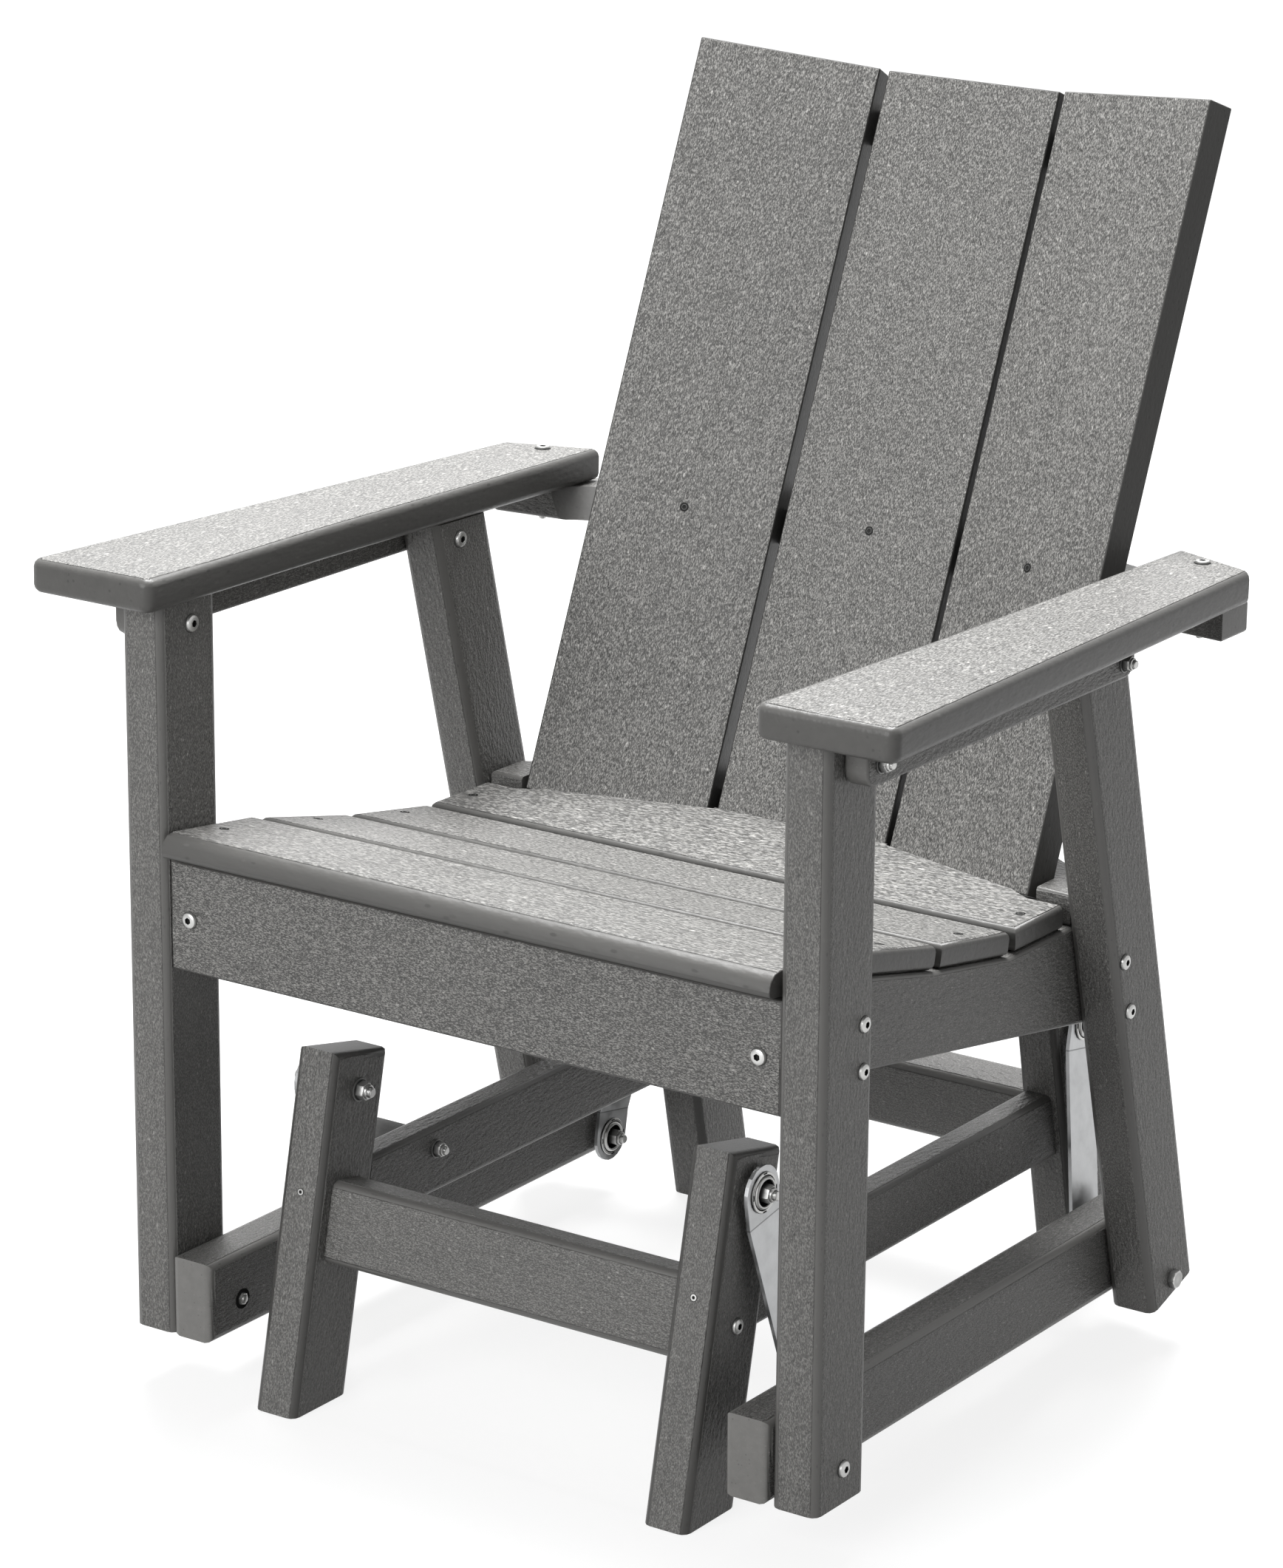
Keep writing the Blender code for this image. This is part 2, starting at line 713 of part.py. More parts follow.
def build_seat(frame):
    """Side rails, apron and four slats; the last slat is cut to the back's front faces."""
    tops = rail_tops()
    lower = [(y, side_rail_foot(tops[0], y)) for y in (tops[0][0], side_rail_back)]
    for side, side_name in side_names.items():
        middle = side * (inner_half + rail_thick / 2)
        side_board(f"seat_side_rail_{side_name}", lower + tops[::-1], middle, rail_thick,
                   rail_round / 2, across_grain(0), frame)
    build_apron(frame)
    slats = []
    for index, ((front_y, front_z), (back_y, back_z)) in enumerate(seat_line()):
        if index == 0:
            slats.append(build_nose_slat(front_y, front_z, back_y, back_z, frame))
            continue
        fall = atan((front_z - back_z) / (back_y - front_y))
        length = (back_y - front_y) / cos(fall)
        corners = [(-seat_half, 0), (seat_half, 0), (seat_half, length), (-seat_half, length)]
        if index == 3:
            corners = last_slat_outline(front_y)
        place = pitched_plane(front_y, front_z, fall)
        place = place @ Matrix.Translation((0, 0, -slat_thick / 2))
        rounded = is_rear_cut if index == 3 else nowhere_sawn
        slats.append(flat_board(f"seat_slat_{index + 1}", corners, place, slat_thick,
                                slat_round, rounded, frame, (0, front_y, front_z)))
    cut(slats[3], back_cutter("back_front_faces", front=True))
    return slats


def last_slat_outline(front_y):
    """The rear seat slat: straight beside the back, deeper where the back's faces stand."""
    side_y = seat_side_back - front_y
    deep_y = back_foot + rail_thick - front_y
    wing_out = wing_front + back_slat_gap / 2
    return [(-seat_half, 0), (seat_half, 0), (seat_half, side_y), (wing_out, side_y),
            (wing_inner, deep_y), (-wing_inner, deep_y), (-wing_out, side_y),
            (-seat_half, side_y)]


def is_rear_cut(first, second):
    """The sides of the last slat that are sawn along the back."""
    return min(abs(first.x), abs(second.x)) < wing_front + back_slat_gap and min(
        first.y, second.y) > slat_round


def build_nose_slat(front_y, front_z, back_y, back_z, frame):
    """The front slat, drawn in the side view because its nose is rounded down."""
    fall = (front_z - back_z) / (back_y - front_y)
    drop = slat_thick * (1 + fall ** 2) ** 0.5
    nose_y = seat_nose
    corners = [(nose_y, front_z + (front_y - nose_y) * fall - drop), (back_y, back_z - drop),
               (back_y, back_z), (nose_y, front_z + (front_y - nose_y) * fall)]
    nose = nose_top_back - seat_nose
    radii = (slat_round, slat_round, slat_round, nose * nose_share)
    points = softened(corners, radii, steps=round_steps)
    return side_board("seat_slat_1", points, 0, 2 * seat_half, nose_rim, nowhere_sawn, frame)


def build_apron(frame):
    """The board across the front, between the posts, under the first slat."""
    front_y, front_z = nose_top_back, seat_front_height
    slope = slat_one_drop / (slat_one_back - nose_top_back)
    drop = slat_thick * (1 + slope ** 2) ** 0.5 + joint_gap
    top = front_z - slope * (apron_front + slat_thick - front_y) - drop
    half = post_inner - joint_gap
    foot = top - apron_deep
    points = [(-half, foot), (half, foot), (half, top), (-half, top)]
    place = Matrix.Translation((0, apron_front + slat_thick / 2, 0))
    place = place @ Matrix.Rotation(quarter_turn, 4, "X")
    flat_board("front_apron", points, place, slat_thick, apron_round, nowhere_sawn, frame,
               (0, apron_front, (foot + top) / 2))


def back_plane():
    """The reclined frame of the back: local Y goes back through the slats, local Z up them."""
    foot = Matrix.Translation((0, back_foot, back_foot_height))
    return foot @ Matrix.Rotation(-recline, 4, "X")


def build_back(frame):
    """Three slats: the outer two turned inwards about their long axes."""
    length = back_slat_tall + back_slat_below
    middle_z = (back_slat_tall - back_slat_below) / 2
    half = back_slat_wide / 2
    points = [(-half, -length / 2), (half, -length / 2), (half, length / 2),
              (-half, length / 2)]
    upright = Matrix.Rotation(quarter_turn, 4, "X")
    for name, side in (("left", -1), ("middle", 0), ("right", 1)):
        turn = Matrix.Rotation(-side * wing_yaw, 4, "Z")
        shift = Matrix.Translation((side * wing_inner, -abs(side) * wing_step, middle_z))
        out = Matrix.Translation((side * half, board_thick / 2, 0))
        place = back_plane() @ shift @ turn @ out @ upright
        flat_board(f"back_slat_{name}", points, place, board_thick, board_round,
                   across_grain(quarter_turn), frame, place.translation)


def back_cutter(name, front):
    """A tall solid that follows the back slats' front faces or their rear faces."""
    offset = -joint_gap if front else board_thick + joint_gap
    far = overrun if front else -overrun
    normal = Vector((sin(wing_yaw), cos(wing_yaw)))
    outer = Vector((wing_front, -wing_step - back_slat_wide * sin(wing_yaw)))
    inner = Vector((wing_inner, -wing_step))
    shoulder = inner + normal * offset
    edge = outer + normal * offset
    seam = wing_inner - back_slat_gap / 2
    reach = outer.x + board_thick * sin(wing_yaw) + 3 * joint_gap
    edge_y = edge.y - (reach - edge.x) * tan(wing_yaw)
    seam_y = shoulder.y + (shoulder.x - seam) * tan(wing_yaw)
    half = [(0, offset), (seam, offset), (seam, seam_y), (reach, edge_y), (reach, far)]
    points = [(-x, y) for x, y in reversed(half[1:])] + half[1:]
    mesh = outline_mesh(points, 2 * (back_slat_tall + overrun))
    return make_cutter(name, mesh, back_plane())


def bar_outline(half, front_y, end_y, front_sweep):
    """Plan of a cross bar behind the back: shallow ends, deeper towards the middle."""
    deep = end_y + bar_sweep
    centre = deep + wing_inner * bar_middle_share * tan(wing_yaw)
    bend = wing_front * bar_bend_share
    right = [(half, front_y), (half, end_y), (bend, deep), (wing_inner, centre)]
    left = [(-x, y) for x, y in reversed(right)]
    if not front_sweep:
        return right + left
    inner = wing_front + rail_thick
    return right + left + [(-inner, front_y + front_sweep), (inner, front_y + front_sweep)]


def build_bars(frame):
    """The arm-level bar, the lower bar on the side rails and the upper batten."""
    rear_cutter = back_cutter("back_rear_faces", front=False)
    top = arm_underside(arm_tail_deep) - joint_gap
    bars = [("arm_cross_bar", bar_outline(bar_half, bar_front, bar_front + bar_end_deep,
                                          bar_front_sweep), top)]
    low_height = rail_tops()[-1][1] + joint_gap + board_thick
    low_front = back_foot + (low_height - back_foot_height) * tan(recline) - low_bar_lead
    low = bar_outline(seat_half, low_front, low_front + bar_end_deep, 0)
    bars.append(("lower_cross_bar", low, low_height))
    bars.append(("upper_batten", batten_outline(), batten_top()))
    made = []
    for name, points, height in bars:
        place = Matrix.Translation((0, 0, height - board_thick / 2))
        bar = flat_board(name, points, place, board_thick, board_round / 2, nowhere_sawn,
                         frame, (0, points[2][1], height))
        cut(bar, rear_cutter)
        made.append(bar)
    for side in side_names:
        hollow = Matrix.Translation((side * (post_inner - scoop_inset), bar_front - scoop_lead,
                                     arm_under - scoop_drop))
        bore(made[:1], hollow @ Matrix.Rotation(-recline, 4, "X"), scoop_radius, -overrun,
             overrun, scoop_sides)
    return made


def batten_top():
    """Height of the upper batten's top face."""
    return back_foot_height + batten_rise


def batten_outline():
    """Plan of the upper batten, hidden behind the three slats."""
    middle = batten_front + batten_deep
    swept = middle - (batten_half - wing_inner) * tan(wing_yaw)
    front = swept - overrun
    right = [(batten_half, front), (batten_half, swept), (wing_inner, middle)]
    return right + [(-x, y) for x, y in reversed(right)]


def build_fasteners(frame, posts, arms, bars):
    """The bolts of the cleats and arms, and the lower pivot bolts."""
    for side, side_name in side_names.items():
        for end, y, rise in (("front", cleat_bolt_front, cleat_bolt_front_rise),
                             ("rear", cleat_bolt_back, cleat_bolt_rear_rise)):
            place = along_x(side, 0, y, cleat_foot + rise)
            fastener(f"cleat_bolt_{end}_{side_name}", place, post_inner, cleat_outer,
                     ("head", "nut"), frame, small=True)
            bore([posts[side, end], posts[side, "cleat"]], place,
                 small_bolt_radius + joint_gap, post_inner - overrun, cleat_outer + overrun)
        x = side * (post_outer - arm_bolt_inset)
        top = arm_height - (arm_bolt_back - arm_front) * arm_fall_share + joint_gap
        low = arm_underside(arm_tail_deep) - joint_gap - board_thick
        place = Matrix.Translation((x, arm_bolt_back, 0))
        fastener(f"arm_bolt_{side_name}", place, low, top, ("tip", "head"), frame, small=True)
        bore([arms[side], bars[0]], place, small_bolt_radius + joint_gap, low - overrun,
             top + overrun)
        build_lower_pivots(side, side_name, posts, frame)


def build_lower_pivots(side, side_name, posts, frame):
    """Front bolt from a blind insert in the rail, rear bolt through the rear post."""
    nut_x = inner_half - joint_gap - bearing_width
    ends = (("front", lower_y, inner_half + insert_depth, "plain"),
            ("rear", 2 * base_middle - lower_y, post_outer, "head"))
    for end, y, end_x, head in ends:
        place = along_x(side, 0, y, lower_z)
        fastener(f"pivot_bolt_lower_{end}_{side_name}", place, nut_x, end_x, ("nut", head),
                 frame)
        pieces = [posts[side, "rail"]] + ([posts[side, "rear"]] if end == "rear" else [])
        reach = end_x + joint_gap if end == "front" else end_x + overrun
        bore(pieces, place, bolt_radius + joint_gap, nut_x, reach)


def build_chair():
    """Base, hangers and the swinging seat frame."""
    clear_scene()
    base = make_frame("base_frame", (0, base_middle, 0))
    swing = make_frame("seat_frame", (0, lower_y, lower_z))
    legs = build_base(base)
    frames = {}
    for side, side_name in side_names.items():
        for end, y in (("front", pivot_y), ("rear", 2 * base_middle - pivot_y)):
            frames[side, end] = make_frame(f"pivot_{end}_{side_name}",
                                           (side * base_half, y, pivot_top))
            build_hanger(side, end, legs, frames, base)
    posts = build_sides(swing)
    arms = {side: build_arm(side, name, swing) for side, name in side_names.items()}
    build_seat(swing)
    build_back(swing)
    bars = build_bars(swing)
    build_fasteners(swing, posts, arms, bars)
    bpy.context.view_layer.update()


build_chair()
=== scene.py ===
# %% [markdown]
# A glider chair of thick recycled-plastic boards. The imported model gives every board and strip its
# exact place, so this lesson only adds what makes them look real: the pebbled skin of the boards,
# bright hardware, and a studio. The imported model is loaded first.

# %% Load the imported chair
from math import cos, pi, radians, sin

import bmesh
import bpy
from mathutils import Matrix, Vector


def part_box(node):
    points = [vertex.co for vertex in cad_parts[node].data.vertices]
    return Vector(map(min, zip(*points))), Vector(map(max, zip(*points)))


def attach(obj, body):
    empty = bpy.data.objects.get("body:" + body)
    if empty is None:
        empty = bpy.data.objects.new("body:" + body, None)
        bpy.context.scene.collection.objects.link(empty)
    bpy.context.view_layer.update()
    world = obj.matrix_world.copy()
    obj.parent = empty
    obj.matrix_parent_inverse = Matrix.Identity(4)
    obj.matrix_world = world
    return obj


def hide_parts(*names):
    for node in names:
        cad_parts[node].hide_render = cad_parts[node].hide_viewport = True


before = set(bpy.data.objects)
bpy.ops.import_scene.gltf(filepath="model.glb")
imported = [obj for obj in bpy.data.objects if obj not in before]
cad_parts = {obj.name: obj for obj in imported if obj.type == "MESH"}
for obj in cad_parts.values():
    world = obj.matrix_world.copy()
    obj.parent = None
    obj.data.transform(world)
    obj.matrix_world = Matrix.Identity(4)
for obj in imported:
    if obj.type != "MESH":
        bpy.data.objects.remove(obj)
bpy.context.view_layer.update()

sides = {"left": -1, "right": 1}
ends = ("front", "rear")
levels = ("upper", "lower")


def new_object(name, data):
    """An object that holds this data, linked to the scene."""
    made = bpy.data.objects.new(name, data)
    bpy.context.scene.collection.objects.link(made)
    return made


# %% [markdown]
# The camera is set where the photographer's was: to the right of the chair, a little above the
# arms, with a long lens. Its place, turn and lens were solved from the chair's straight edges. The
# picture is a crop out of a wider frame. Turning the camera to the crop would slant the posts, so
# the lens shift makes the crop instead.

# %% Camera
camera_place = Vector((2.157953, -3.225758, 1.621206))
camera_azimuth = radians(32.41855)
camera_elevation = radians(17.45699)
camera_roll = radians(1.17273)
camera_lens, film_width = 150.34683, 36
camera_shift = (-0.16356878, 0.04199539)
farthest_seen = 100


def make_camera():
    """A long-lens camera at the photograph's angle."""
    behind = Vector((sin(camera_azimuth) * cos(camera_elevation),
                     -cos(camera_azimuth) * cos(camera_elevation), sin(camera_elevation)))
    level = behind.cross(Vector((0, 0, 1))).normalized() * -1
    upright = behind.cross(level)
    right = level * cos(camera_roll) + upright * sin(camera_roll)
    above = upright * cos(camera_roll) - level * sin(camera_roll)
    data = bpy.data.cameras.new("Camera")
    data.sensor_fit = "HORIZONTAL"
    data.sensor_width = film_width
    data.lens = camera_lens
    data.shift_x, data.shift_y = camera_shift
    data.clip_end = farthest_seen
    camera = new_object("Camera", data)
    camera.matrix_world = Matrix((right, above, behind)).transposed().to_4x4()
    camera.location = camera_place
    bpy.context.scene.camera = camera


make_camera()
print("camera distance:", round(camera_place.length, 3), "m")

# %% [markdown]
# Node trees are easier to read when one helper adds a node, sets it and wires it. Values that are
# sockets are linked, and anything else becomes the socket's own value. A few short helpers on top
# of it name the steps that every tree here takes.

# %% Helpers for nodes
def feed(tree, node, sockets):
    """Link a node's input sockets to other sockets, or give them plain values."""
    for key, value in sockets.items():
        if isinstance(value, bpy.types.NodeSocket):
            tree.links.new(value, node.inputs[key])
        else:
            node.inputs[key].default_value = value


def add(tree, kind, sockets=None, **settings):
    """Add a node, set its properties and feed its input sockets."""
    made = tree.nodes.new(kind)
    for key, value in settings.items():
        setattr(made, key, value)
    feed(tree, made, sockets or {})
    return made


def new_group(name, kind, inputs, outputs):
    """A node group with named sockets; gives its tree, its input node and its output node."""
    tree = bpy.data.node_groups.new(name, kind)
    for label, socket_type, value in inputs:
        socket = tree.interface.new_socket(label, in_out="INPUT", socket_type=socket_type)
        if value is not None:
            socket.default_value = value
    for label, socket_type in outputs:
        tree.interface.new_socket(label, in_out="OUTPUT", socket_type=socket_type)
    return tree, tree.nodes.new("NodeGroupInput"), tree.nodes.new("NodeGroupOutput")


def math(tree, operation, first, second=0.0):
    """One Math node's result."""
    return add(tree, "ShaderNodeMath", {0: first, 1: second}, operation=operation).outputs[0]


def ramp(tree, value, low, high, to_low=0.0, to_high=1.0):
    """A value mapped smoothly from one range to another."""
    return add(tree, "ShaderNodeMapRange", {"Value": value, "From Min": low, "From Max": high,
                                            "To Min": to_low, "To Max": to_high},
               interpolation_type="SMOOTHSTEP").outputs[0]


def scaled(tree, vector, factor):
    """A vector or colour times one factor."""
    return add(tree, "ShaderNodeVectorMath", {0: vector, "Scale": factor},
               operation="SCALE").outputs[0]


def stretched(tree, vector, factors):
    """A vector with each of its three parts times its own factor."""
    return add(tree, "ShaderNodeVectorMath", {0: vector, 1: factors},
               operation="MULTIPLY").outputs[0]


def noise(tree, place, scale, detail=2.0, roughness=0.5):
    """Cloudy values around a half, with this many clouds to the metre."""
    return add(tree, "ShaderNodeTexNoise", {"Vector": place, "Scale": scale, "Detail": detail,
                                            "Roughness": roughness}).outputs["Fac"]


def swing(tree, value, depth):
    """How far a noise lies from its middle, times a depth."""
    return math(tree, "MULTIPLY", math(tree, "SUBTRACT", value, 0.5), depth)


def new_material(name):
    """A material, its node tree and its Principled shader."""
    material = bpy.data.materials.new(name)
    material.use_nodes = True
    tree = material.node_tree
    return material, tree, tree.nodes["Principled BSDF"]


def coat(piece, material):
    """Give a piece this one material."""
    piece.data.materials.clear()
    piece.data.materials.append(material)


print("node helpers:", add.__name__, ramp.__name__, noise.__name__)

# %% [markdown]
# The floor and the background are white where the camera, a mirror or glass sees them, but they
# light the chair only at a plain level. More light on a grey floor would whiten it too, but would
# wash out the chair. The floor still takes the chair's soft shadow, because part of what the camera
# sees on it is real diffuse light.

# %% Studio
sky_strength = 0.26
floor_grey = (0.2, 0.2, 0.2, 1)
floor_reach, floor_drop = 20, 0.0006
glow_at_chair, glow_far_off = 0.84, 1.0
glow_from, glow_to = 0.5, 1.5
white = (1, 1, 1, 1)
lamp_target = (0, 0, 0.45)
lamps = {"key_lamp": ((-0.4, -3.9, 2.0), 2.2, 112),
         "rear_lamp": ((-2.3, 3.4, 2.2), 3.2, 30),
         "top_lamp": ((-0.5, 0.75, 3.3), 1.8, 270)}


def seen_rays(tree):
    """1 for the rays of the camera, of mirrors and of glass, and 0 for the light on the chair."""
    path = tree.nodes.new("ShaderNodeLightPath")
    seen = math(tree, "MAXIMUM", path.outputs["Is Camera Ray"], path.outputs["Is Glossy Ray"])
    return math(tree, "MAXIMUM", seen, path.outputs["Is Transmission Ray"])


def make_sky():
    """A world that looks white and lights the chair softly."""
    world = bpy.data.worlds.new("Studio")
    bpy.context.scene.world = world
    world.use_nodes = True
    tree = world.node_tree
    tree.nodes.clear()
    strength = ramp(tree, seen_rays(tree), 0.0, 1.0, sky_strength, 1.0)
    sky = add(tree, "ShaderNodeBackground", {"Color": white, "Strength": strength})
    add(tree, "ShaderNodeOutputWorld", {"Surface": sky.outputs[0]})


def make_floor():
    """A wide floor that glows white to the eye, a little less so under the chair."""
    mesh = bpy.data.meshes.new("floor")
    corners = ((-1, -1), (1, -1), (1, 1), (-1, 1))
    mesh.from_pydata([(x * floor_reach, y * floor_reach, 0) for x, y in corners], [],
                     [(0, 1, 2, 3)])
    floor = new_object("floor", mesh)
    floor.location.z = -floor_drop
    finish, tree, surface = new_material("studio_floor")
    tree.nodes.clear()
    where = tree.nodes.new("ShaderNodeTexCoord").outputs["Object"]
    far = add(tree, "ShaderNodeVectorMath", {0: where}, operation="LENGTH").outputs["Value"]
    level = ramp(tree, far, glow_from, glow_to, glow_at_chair, glow_far_off)
    matt = add(tree, "ShaderNodeBsdfDiffuse", {"Color": floor_grey})
    glow = add(tree, "ShaderNodeEmission", {
        "Color": white, "Strength": math(tree, "MULTIPLY", seen_rays(tree), level)})
    both = add(tree, "ShaderNodeAddShader", {0: matt.outputs[0], 1: glow.outputs[0]})
    add(tree, "ShaderNodeOutputMaterial", {"Surface": both.outputs[0]})
    coat(floor, finish)


def add_lamp(name, place, size, power):
    """A square area lamp that faces the middle of the chair."""
    data = bpy.data.lights.new(name, "AREA")
    data.size = size
    data.energy = power
    lamp = new_object(name, data)
    lamp.location = place
    aim = Vector(lamp_target) - Vector(place)
    lamp.rotation_euler = aim.to_track_quat("-Z", "Y").to_euler()


make_sky()
make_floor()
for name, (place, size, power) in lamps.items():
    add_lamp(name, place, size, power)
bpy.context.scene.view_settings.view_transform = "Standard"

# %% [markdown]
# The boards are one recycled plastic: a mid-grey body with pale flecks drawn out along the board,
# and a pebbled skin pressed into the broad faces. Rounded edges and sawn ends are smoother. An
# image of the skin could be wrapped round each board, but a pattern in space needs no unwrapping
# and never repeats. One group makes the fleck colour, the roughness and the height of the pebbles,
# for every board. Its colour also holds painted glints and shade on the pebbles, and painted shade
# and light on the edges and ends.

# %% Shader group for the skin
to_the_metre = {"pebble": 1350.0, "swell": 420.0, "streak": 150.0, "cloud": 9.0, "fleck": 330.0}
drawn_flecks, drawn_streaks = (0.45, 1, 1), (0.06, 1, 1)
streak_depth, cloud_depth, dark_depth, rough_depth = 0.30, 0.22, 0.35, 0.25
fleck_outline = (0.30, 0.12)
pale_chance, dark_chance = (0.62, 0.95), (0.70, 0.95)
glint_from, glint_to = (0.42, 0.66), (-0.5, 1.15)
pale_on_edge_and_skin = (0.25, 1.6)
rough_on_edge_and_skin = (0.40, 0.50)
depth_on_edge_and_skin = (0.12, 1.0)
pebble_share, swell_share = 0.5, 2.6


def make_skin_group():
    """Flecked colour with painted glints and edge shade and light, roughness and pebble height, in a
    board's own directions.
    """
    tree, start, end = new_group("board_skin", "ShaderNodeTree", [
        ("Position", "NodeSocketVector", None),
        ("Fineness", "NodeSocketFloat", 1.0),
        ("Skin", "NodeSocketFloat", 1.0),
        ("Pebble", "NodeSocketFloat", 1.0),
        ("Fleck", "NodeSocketFloat", 1.0),
        ("Edge light and shade", "NodeSocketFloat", 1.0),
        ("Painted glint and shade", "NodeSocketFloat", 1.0),
        ("Tone", "NodeSocketColor", (0.12, 0.12, 0.115, 1)),
    ], [("Color", "NodeSocketColor"), ("Roughness", "NodeSocketFloat"),
        ("Height", "NodeSocketFloat")])
    on_skin = start.outputs["Skin"]
    place = scaled(tree, start.outputs["Position"], start.outputs["Fineness"])
    drawn = stretched(tree, place, drawn_flecks)
    long = stretched(tree, place, drawn_streaks)
    pebble = noise(tree, drawn, to_the_metre["pebble"], roughness=0.6)
    swell = noise(tree, drawn, to_the_metre["swell"], detail=1.0)
    streak = noise(tree, long, to_the_metre["streak"])
    cloud = noise(tree, place, to_the_metre["cloud"])
    cells = add(tree, "ShaderNodeTexVoronoi", {"Vector": drawn, "Scale": to_the_metre["fleck"]})
    spot = ramp(tree, cells.outputs["Distance"], *fleck_outline)
    chance = add(tree, "ShaderNodeSeparateColor", {0: cells.outputs["Color"]})
    pale = math(tree, "MULTIPLY", spot, ramp(tree, chance.outputs[0], *pale_chance))
    dark = math(tree, "MULTIPLY", spot, ramp(tree, chance.outputs[1], *dark_chance))
    shade = math(tree, "ADD", 1.0, swing(tree, streak, streak_depth))
    shade = math(tree, "ADD", shade, swing(tree, cloud, cloud_depth))
    # Painted glints and shade: the pebble noise lightens and darkens the colour of the skin.
    glint = ramp(tree, pebble, *glint_from, *glint_to)
    grit = math(tree, "MULTIPLY", glint, start.outputs["Painted glint and shade"])
    shade = math(tree, "ADD", shade, math(tree, "MULTIPLY", grit, on_skin))
    shade = math(tree, "SUBTRACT", shade, math(tree, "MULTIPLY", dark, dark_depth))
    pale = math(tree, "MULTIPLY", pale, ramp(tree, on_skin, 0.0, 1.0, *pale_on_edge_and_skin))
    flecks = math(tree, "MULTIPLY", pale, start.outputs["Fleck"])
    shade = math(tree, "ADD", shade, flecks)
    # Painted shade on edges and ends where the value is below 1, and painted light where it is above
    # 1.
    edge = math(tree, "MULTIPLY", math(tree, "SUBTRACT", 1.0, on_skin),
                math(tree, "SUBTRACT", start.outputs["Edge light and shade"], 1.0))
    shade = math(tree, "MULTIPLY", shade, math(tree, "ADD", 1.0, edge))
    rough = math(tree, "ADD", swing(tree, pebble, rough_depth),
                 ramp(tree, on_skin, 0.0, 1.0, *rough_on_edge_and_skin))
    height = math(tree, "ADD", math(tree, "MULTIPLY", pebble, pebble_share),
                  math(tree, "MULTIPLY", swell, swell_share))
    depth = math(tree, "MULTIPLY", start.outputs["Pebble"],
                 ramp(tree, on_skin, 0.0, 1.0, *depth_on_edge_and_skin))
    feed(tree, end, {"Color": scaled(tree, start.outputs["Tone"], shade), "Roughness": rough,
                     "Height": math(tree, "MULTIPLY", height, depth)})
    return tree


skin_group = make_skin_group()
print("nodes in the skin group:", len(skin_group.nodes))

# %% [markdown]
# Only some faces of a board keep the pebbled skin. They could be picked by hand, but the packed
# boards are loose triangles, so a second group finds them from the direction of the surface.

# %% Shader group for the faces
face_slant = (0.94, 0.995)


def make_face_group():
    """Mask of the faces that keep their pebbled skin: 1 on them, 0 on edges and ends."""
    tree, start, end = new_group("skin_faces", "ShaderNodeTree", [
        ("Normal", "NodeSocketVector", None),
        ("Faces", "NodeSocketVector", (0, 0, 1)),
    ], [("Skin", "NodeSocketFloat")])
    size = add(tree, "ShaderNodeVectorMath", {0: start.outputs["Normal"]},
               operation="ABSOLUTE").outputs[0]
    kept = stretched(tree, size, start.outputs["Faces"])
    split = add(tree, "ShaderNodeSeparateXYZ", {0: kept})
    best = math(tree, "MAXIMUM", split.outputs[0], split.outputs[1])
    best = math(tree, "MAXIMUM", best, split.outputs[2])
    feed(tree, end, {"Skin": ramp(tree, best, *face_slant)})
    return tree


face_group = make_face_group()
print("nodes in the face group:", len(face_group.nodes))

# %% [markdown]
# A board's pattern has to follow the board, however it is tilted. Each board is named with the
# direction of its length and of its broad face. From these comes one turn, which brings both the
# position and the normal back to the board's own directions, and a shift, so that no two boards
# show the same flecks.

# %% Board material
board_tone = (0.118, 0.116, 0.111, 1)
board_shift = Vector((0.731, 0.377, 0.547))
bump_height, full_gloss = 0.0006, 0.5


def board_turn(length, face):
    """The turn that stands local X along a board's length and local Z on its broad face."""
    along = Vector(length).normalized()
    out = (Vector(face) - along * along.dot(Vector(face))).normalized()
    return Matrix((along, out.cross(along), out)).transposed().to_euler()


def board_material(name, length, face, shift, faces, fineness, pebble, grit, fleck, edge):
    """The flecked plastic, turned to one board."""
    material, tree, surface = new_material(f"board_{name}")
    where = tree.nodes.new("ShaderNodeTexCoord")
    turn = board_turn(length, face)
    moved = add(tree, "ShaderNodeVectorMath", {0: where.outputs["Object"], 1: shift},
                operation="ADD").outputs[0]
    place, normal = (add(tree, "ShaderNodeVectorRotate", {"Vector": vector, "Rotation": turn},
                         rotation_type="EULER_XYZ", invert=True).outputs[0]
                     for vector in (moved, where.outputs["Normal"]))
    mask = add(tree, "ShaderNodeGroup", {"Normal": normal, "Faces": faces},
               node_tree=face_group).outputs["Skin"]
    skin = add(tree, "ShaderNodeGroup", {
        "Position": place, "Fineness": fineness, "Skin": mask, "Pebble": pebble,
        "Fleck": fleck, "Edge light and shade": edge, "Painted glint and shade": grit, "Tone": board_tone}, node_tree=skin_group)
    bump = add(tree, "ShaderNodeBump", {"Strength": 1.0, "Distance": bump_height,
                                        "Height": skin.outputs["Height"]})
    gloss = ramp(tree, mask, 0.0, 1.0, min(edge, 1.0) * full_gloss, full_gloss)
    feed(tree, surface, {"Base Color": skin.outputs["Color"],
                         "Roughness": skin.outputs["Roughness"],
                         "Specular IOR Level": gloss, "Normal": bump.outputs[0]})
    return material


print("turn of a board across the chair:", tuple(board_turn((1, 0, 0), (0, 0, 1))))
